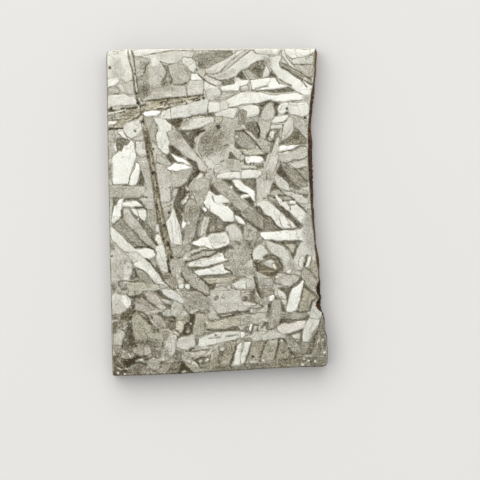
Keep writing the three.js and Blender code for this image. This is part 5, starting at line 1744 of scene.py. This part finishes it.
def sawn_side_material(grain_group, speck_group, colours):
    """Sawn, unetched iron: dull grey with fine parallel saw marks and a few rusty specks."""
    material, tree, shader, place = new_material("sawn_iron")
    marks = grain(tree, grain_group, place, SAW_MARKS, SAW_STRETCH, SAW_TURN)
    blotch = grain(tree, grain_group, place, SAW_BLOTCH)
    share = total(tree, marks["Shade"], blotch["Shade"], 0.5)
    colour = mixed(tree, share, colours.sawn_dark, colours.sawn_light)
    colour = mixed(tree, specks(tree, speck_group, place, SAWN_SPECKS), colour, colours.rust, "MULTIPLY")
    shader.inputs["Metallic"].default_value = SAWN_METALLIC
    height = marks["Height"]
    finish(tree, shader, colour, ranged(tree, height, *SAWN_ROUGHNESS), height, SAWN_BUMP)
    return material


def crust_material(grain_group, speck_group, colours):
    """Natural crust: dark brown in the hollows, lighter on the ridges, tan in places, with rusty specks."""
    material, tree, shader, place = new_material("natural_crust")
    coarse = grain(tree, grain_group, place, CRUST_GRAIN)
    ticks = grain(tree, grain_group, place, CRUST_TICKS, TICK_STRETCH)
    ridge = product(tree, math(tree, "SUBTRACT", mask(tree, "ridge"), RIDGE_MIDDLE), RIDGE_LIGHT)
    share = ranged(tree, total(tree, coarse["Shade"], ticks["Shade"], ridge), *CRUST_SPAN)
    brown = mixed(tree, share, colours.crust_dark, colours.crust_light)
    tan = mixed(tree, share, colours.crust_dark, colours.crust_tan)
    colour = mixed(tree, mask(tree, "tan"), brown, tan)
    colour = mixed(tree, specks(tree, speck_group, place, CRUST_SPECKS), colour, colours.rust, "MULTIPLY")
    shader.inputs["Metallic"].default_value = 0.0
    shader.inputs["Specular IOR Level"].default_value = CRUST_SPECULAR
    roughness = ranged(tree, ticks["Height"], *CRUST_ROUGHNESS)
    finish(tree, shader, colour, roughness, total(tree, coarse["Height"], ticks["Height"]), CRUST_BUMP)
    return material


def floor_material(colours):
    """Matt pale board with faint wide blotches."""
    material, tree, shader, place = new_material("pale_floor")
    scale, darker = FLOOR_BLOTCH
    colour = mixed(tree, noise(tree, place, scale, 2.0), colours.floor, colours.floor * darker)
    tree.links.new(colour, shader.inputs["Base Color"])
    shader.inputs["Roughness"].default_value = FLOOR_ROUGHNESS
    return material


def length(name, about, value):
    """A size in metres that the user may change."""
    return bpy.props.FloatProperty(name=name, description=about, default=value, unit="LENGTH")


def tint(name, about, value):
    """A colour that the user may change."""
    return bpy.props.FloatVectorProperty(name=name, description=about, default=value, subtype="COLOR")


class SliceSizes(bpy.types.PropertyGroup):
    """Sizes of the slice."""

    thickness: length("Thickness", "From the back to the highest metal plates", HIGH.z - LOW.z)
    bevel: length("Bevel", "Rounding of the rim of the face", 0.12 * MM)
    back_bevel: length("Back bevel", "Slope round the back", 0.1 * MM)
    relief: bpy.props.FloatProperty(
        name="Relief", description="Share of the solid's relief that the etched face shows",
        default=0.4, subtype="FACTOR",
    )
    crust_ridge: length("Crust ridges", "Height of the ridges across the crust", 0.09 * MM)
    crust_pitting: length("Crust pits", "Depth of the pits in the crust", 0.05 * MM)


class SliceColours(bpy.types.PropertyGroup):
    """Colours of the slice and its floor."""

    rust: tint("Rust", "Tint of rust on the metal", (0.93, 0.85, 0.64))
    sawn_light: tint("Sawn metal", "Lighter grey of the sawn sides", (0.33, 0.31, 0.28))
    sawn_dark: tint("Sawn metal, dark", "Darker grey of the sawn sides", (0.13, 0.12, 0.105))
    crust_light: tint("Crust, high", "High parts of the natural crust", (0.12, 0.055, 0.024))
    crust_tan: tint("Crust, tan", "High parts of the crust near the top", (0.45, 0.27, 0.12))
    crust_dark: tint("Crust, low", "Hollows of the natural crust", (0.014, 0.007, 0.004))
    floor: tint("Floor", "Pale floor", (0.78, 0.77, 0.75))


class StageSettings(bpy.types.PropertyGroup):
    """Camera and lights."""

    view_width: length("View width", "Width of the view at the face", 48 * MM)
    view_middle: bpy.props.FloatVectorProperty(
        name="View middle", description="Point that the camera looks at", size=3,
        default=(2.28 * MM, -2.78 * MM, 3 * MM), subtype="XYZ", unit="LENGTH",
    )
    view_distance: length("View distance", "From the camera to the face", 0.3)
    key_power: bpy.props.FloatProperty(
        name="Key light", description="Power of the large soft light", default=4.0, unit="POWER",
    )
    sky: bpy.props.FloatProperty(name="Sky", description="Strength of the even light", default=0.54)


class METEORITE_OT_slice(bpy.types.Operator):
    """Builds the etched slice in place of its plain solid"""

    bl_idname = "meteorite.slice"
    bl_label = "Build slice"

    def execute(self, context):
        scene = context.scene
        grain_group, speck_group = metal_grain_group(), rust_speck_group()
        mesh = build_slice(scene.slice_sizes)
        for maker in (etched_face_material, sawn_side_material, crust_material):
            mesh.materials.append(maker(grain_group, speck_group, scene.slice_colours))
        piece = bpy.data.objects.new("etched_slice", mesh)
        scene.collection.objects.link(piece)
        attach(piece, "root")
        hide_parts(NODE)
        return {"FINISHED"}


def lay_floor(scene):
    """Pale board level with the back of the slice."""
    mesh = bpy.data.meshes.new("floor")
    across = FLOOR_REACH * np.array([-1, 1, 1, -1])
    corners = np.column_stack([across, np.roll(across, 1), np.full(4, LOW.z)])
    mesh.from_pydata(corners.tolist(), [], [range(4)])
    mesh.materials.append(floor_material(scene.slice_colours))
    floor = bpy.data.objects.new("floor", mesh)
    scene.collection.objects.link(floor)


def set_light(scene, settings):
    """One wide soft light that points at the slice, and an even sky."""
    key = bpy.data.lights.new("key", "AREA")
    key.shape, key.size, key.energy, key.color = "SQUARE", KEY_SIZE, settings.key_power, KEY_COLOUR
    lamp = bpy.data.objects.new("key", key)
    lamp.location = KEY_PLACE
    lamp.rotation_euler = (-lamp.location).to_track_quat("-Z", "Y").to_euler()
    scene.collection.objects.link(lamp)
    world = bpy.data.worlds.new("studio")
    world.use_nodes = True
    sky = world.node_tree.nodes["Background"]
    sky.inputs["Color"].default_value = SKY_COLOUR
    sky.inputs["Strength"].default_value = settings.sky
    scene.world = world


def set_camera(scene, settings):
    """Camera that looks straight down on the face, with a lens as long as the view's width asks for."""
    camera = bpy.data.cameras.new("camera")
    camera.lens = camera.sensor_width * settings.view_distance / settings.view_width
    camera.clip_start, camera.clip_end = VIEW_RANGE
    stand = bpy.data.objects.new("camera", camera)
    stand.location = settings.view_middle
    stand.location.z += settings.view_distance
    scene.collection.objects.link(stand)
    scene.camera = stand
    scene.view_settings.view_transform = "Standard"


class METEORITE_OT_stage(bpy.types.Operator):
    """Lays the pale floor and sets the lights and the camera"""

    bl_idname = "meteorite.stage"
    bl_label = "Set the stage"

    def execute(self, context):
        scene = context.scene
        lay_floor(scene)
        set_light(scene, scene.slice_stage)
        set_camera(scene, scene.slice_stage)
        return {"FINISHED"}


class METEORITE_PT_panel(bpy.types.Panel):
    """Sizes, colours and the steps that build the scene"""

    bl_label = "Meteorite slice"
    bl_idname = "METEORITE_PT_panel"
    bl_space_type = "VIEW_3D"
    bl_region_type = "UI"
    bl_category = "Meteorite"

    def draw(self, context):
        scene = context.scene
        for step in (METEORITE_OT_stage, METEORITE_OT_slice):
            self.layout.operator(step.bl_idname)
        for group in (scene.slice_sizes, scene.slice_colours, scene.slice_stage):
            for name in group.bl_rna.properties.keys():
                if name not in ("rna_type", "name"):
                    self.layout.prop(group, name)


GROUPS = (("slice_sizes", SliceSizes), ("slice_colours", SliceColours), ("slice_stage", StageSettings))
CLASSES = (METEORITE_OT_slice, METEORITE_OT_stage, METEORITE_PT_panel)


def register():
    """Registers the settings, which hang on the scene, and then the steps and the panel."""
    for name, group in GROUPS:
        bpy.utils.register_class(group)
        setattr(bpy.types.Scene, name, bpy.props.PointerProperty(type=group))
    for item in CLASSES:
        bpy.utils.register_class(item)


def unregister():
    """Takes back what register did, in the other order."""
    for item in reversed(CLASSES):
        bpy.utils.unregister_class(item)
    for name, group in reversed(GROUPS):
        delattr(bpy.types.Scene, name)
        bpy.utils.unregister_class(group)


def main():
    """Builds the stage and the slice."""
    register()
    bpy.ops.meteorite.stage()
    bpy.ops.meteorite.slice()


if __name__ == "__main__":
    main()
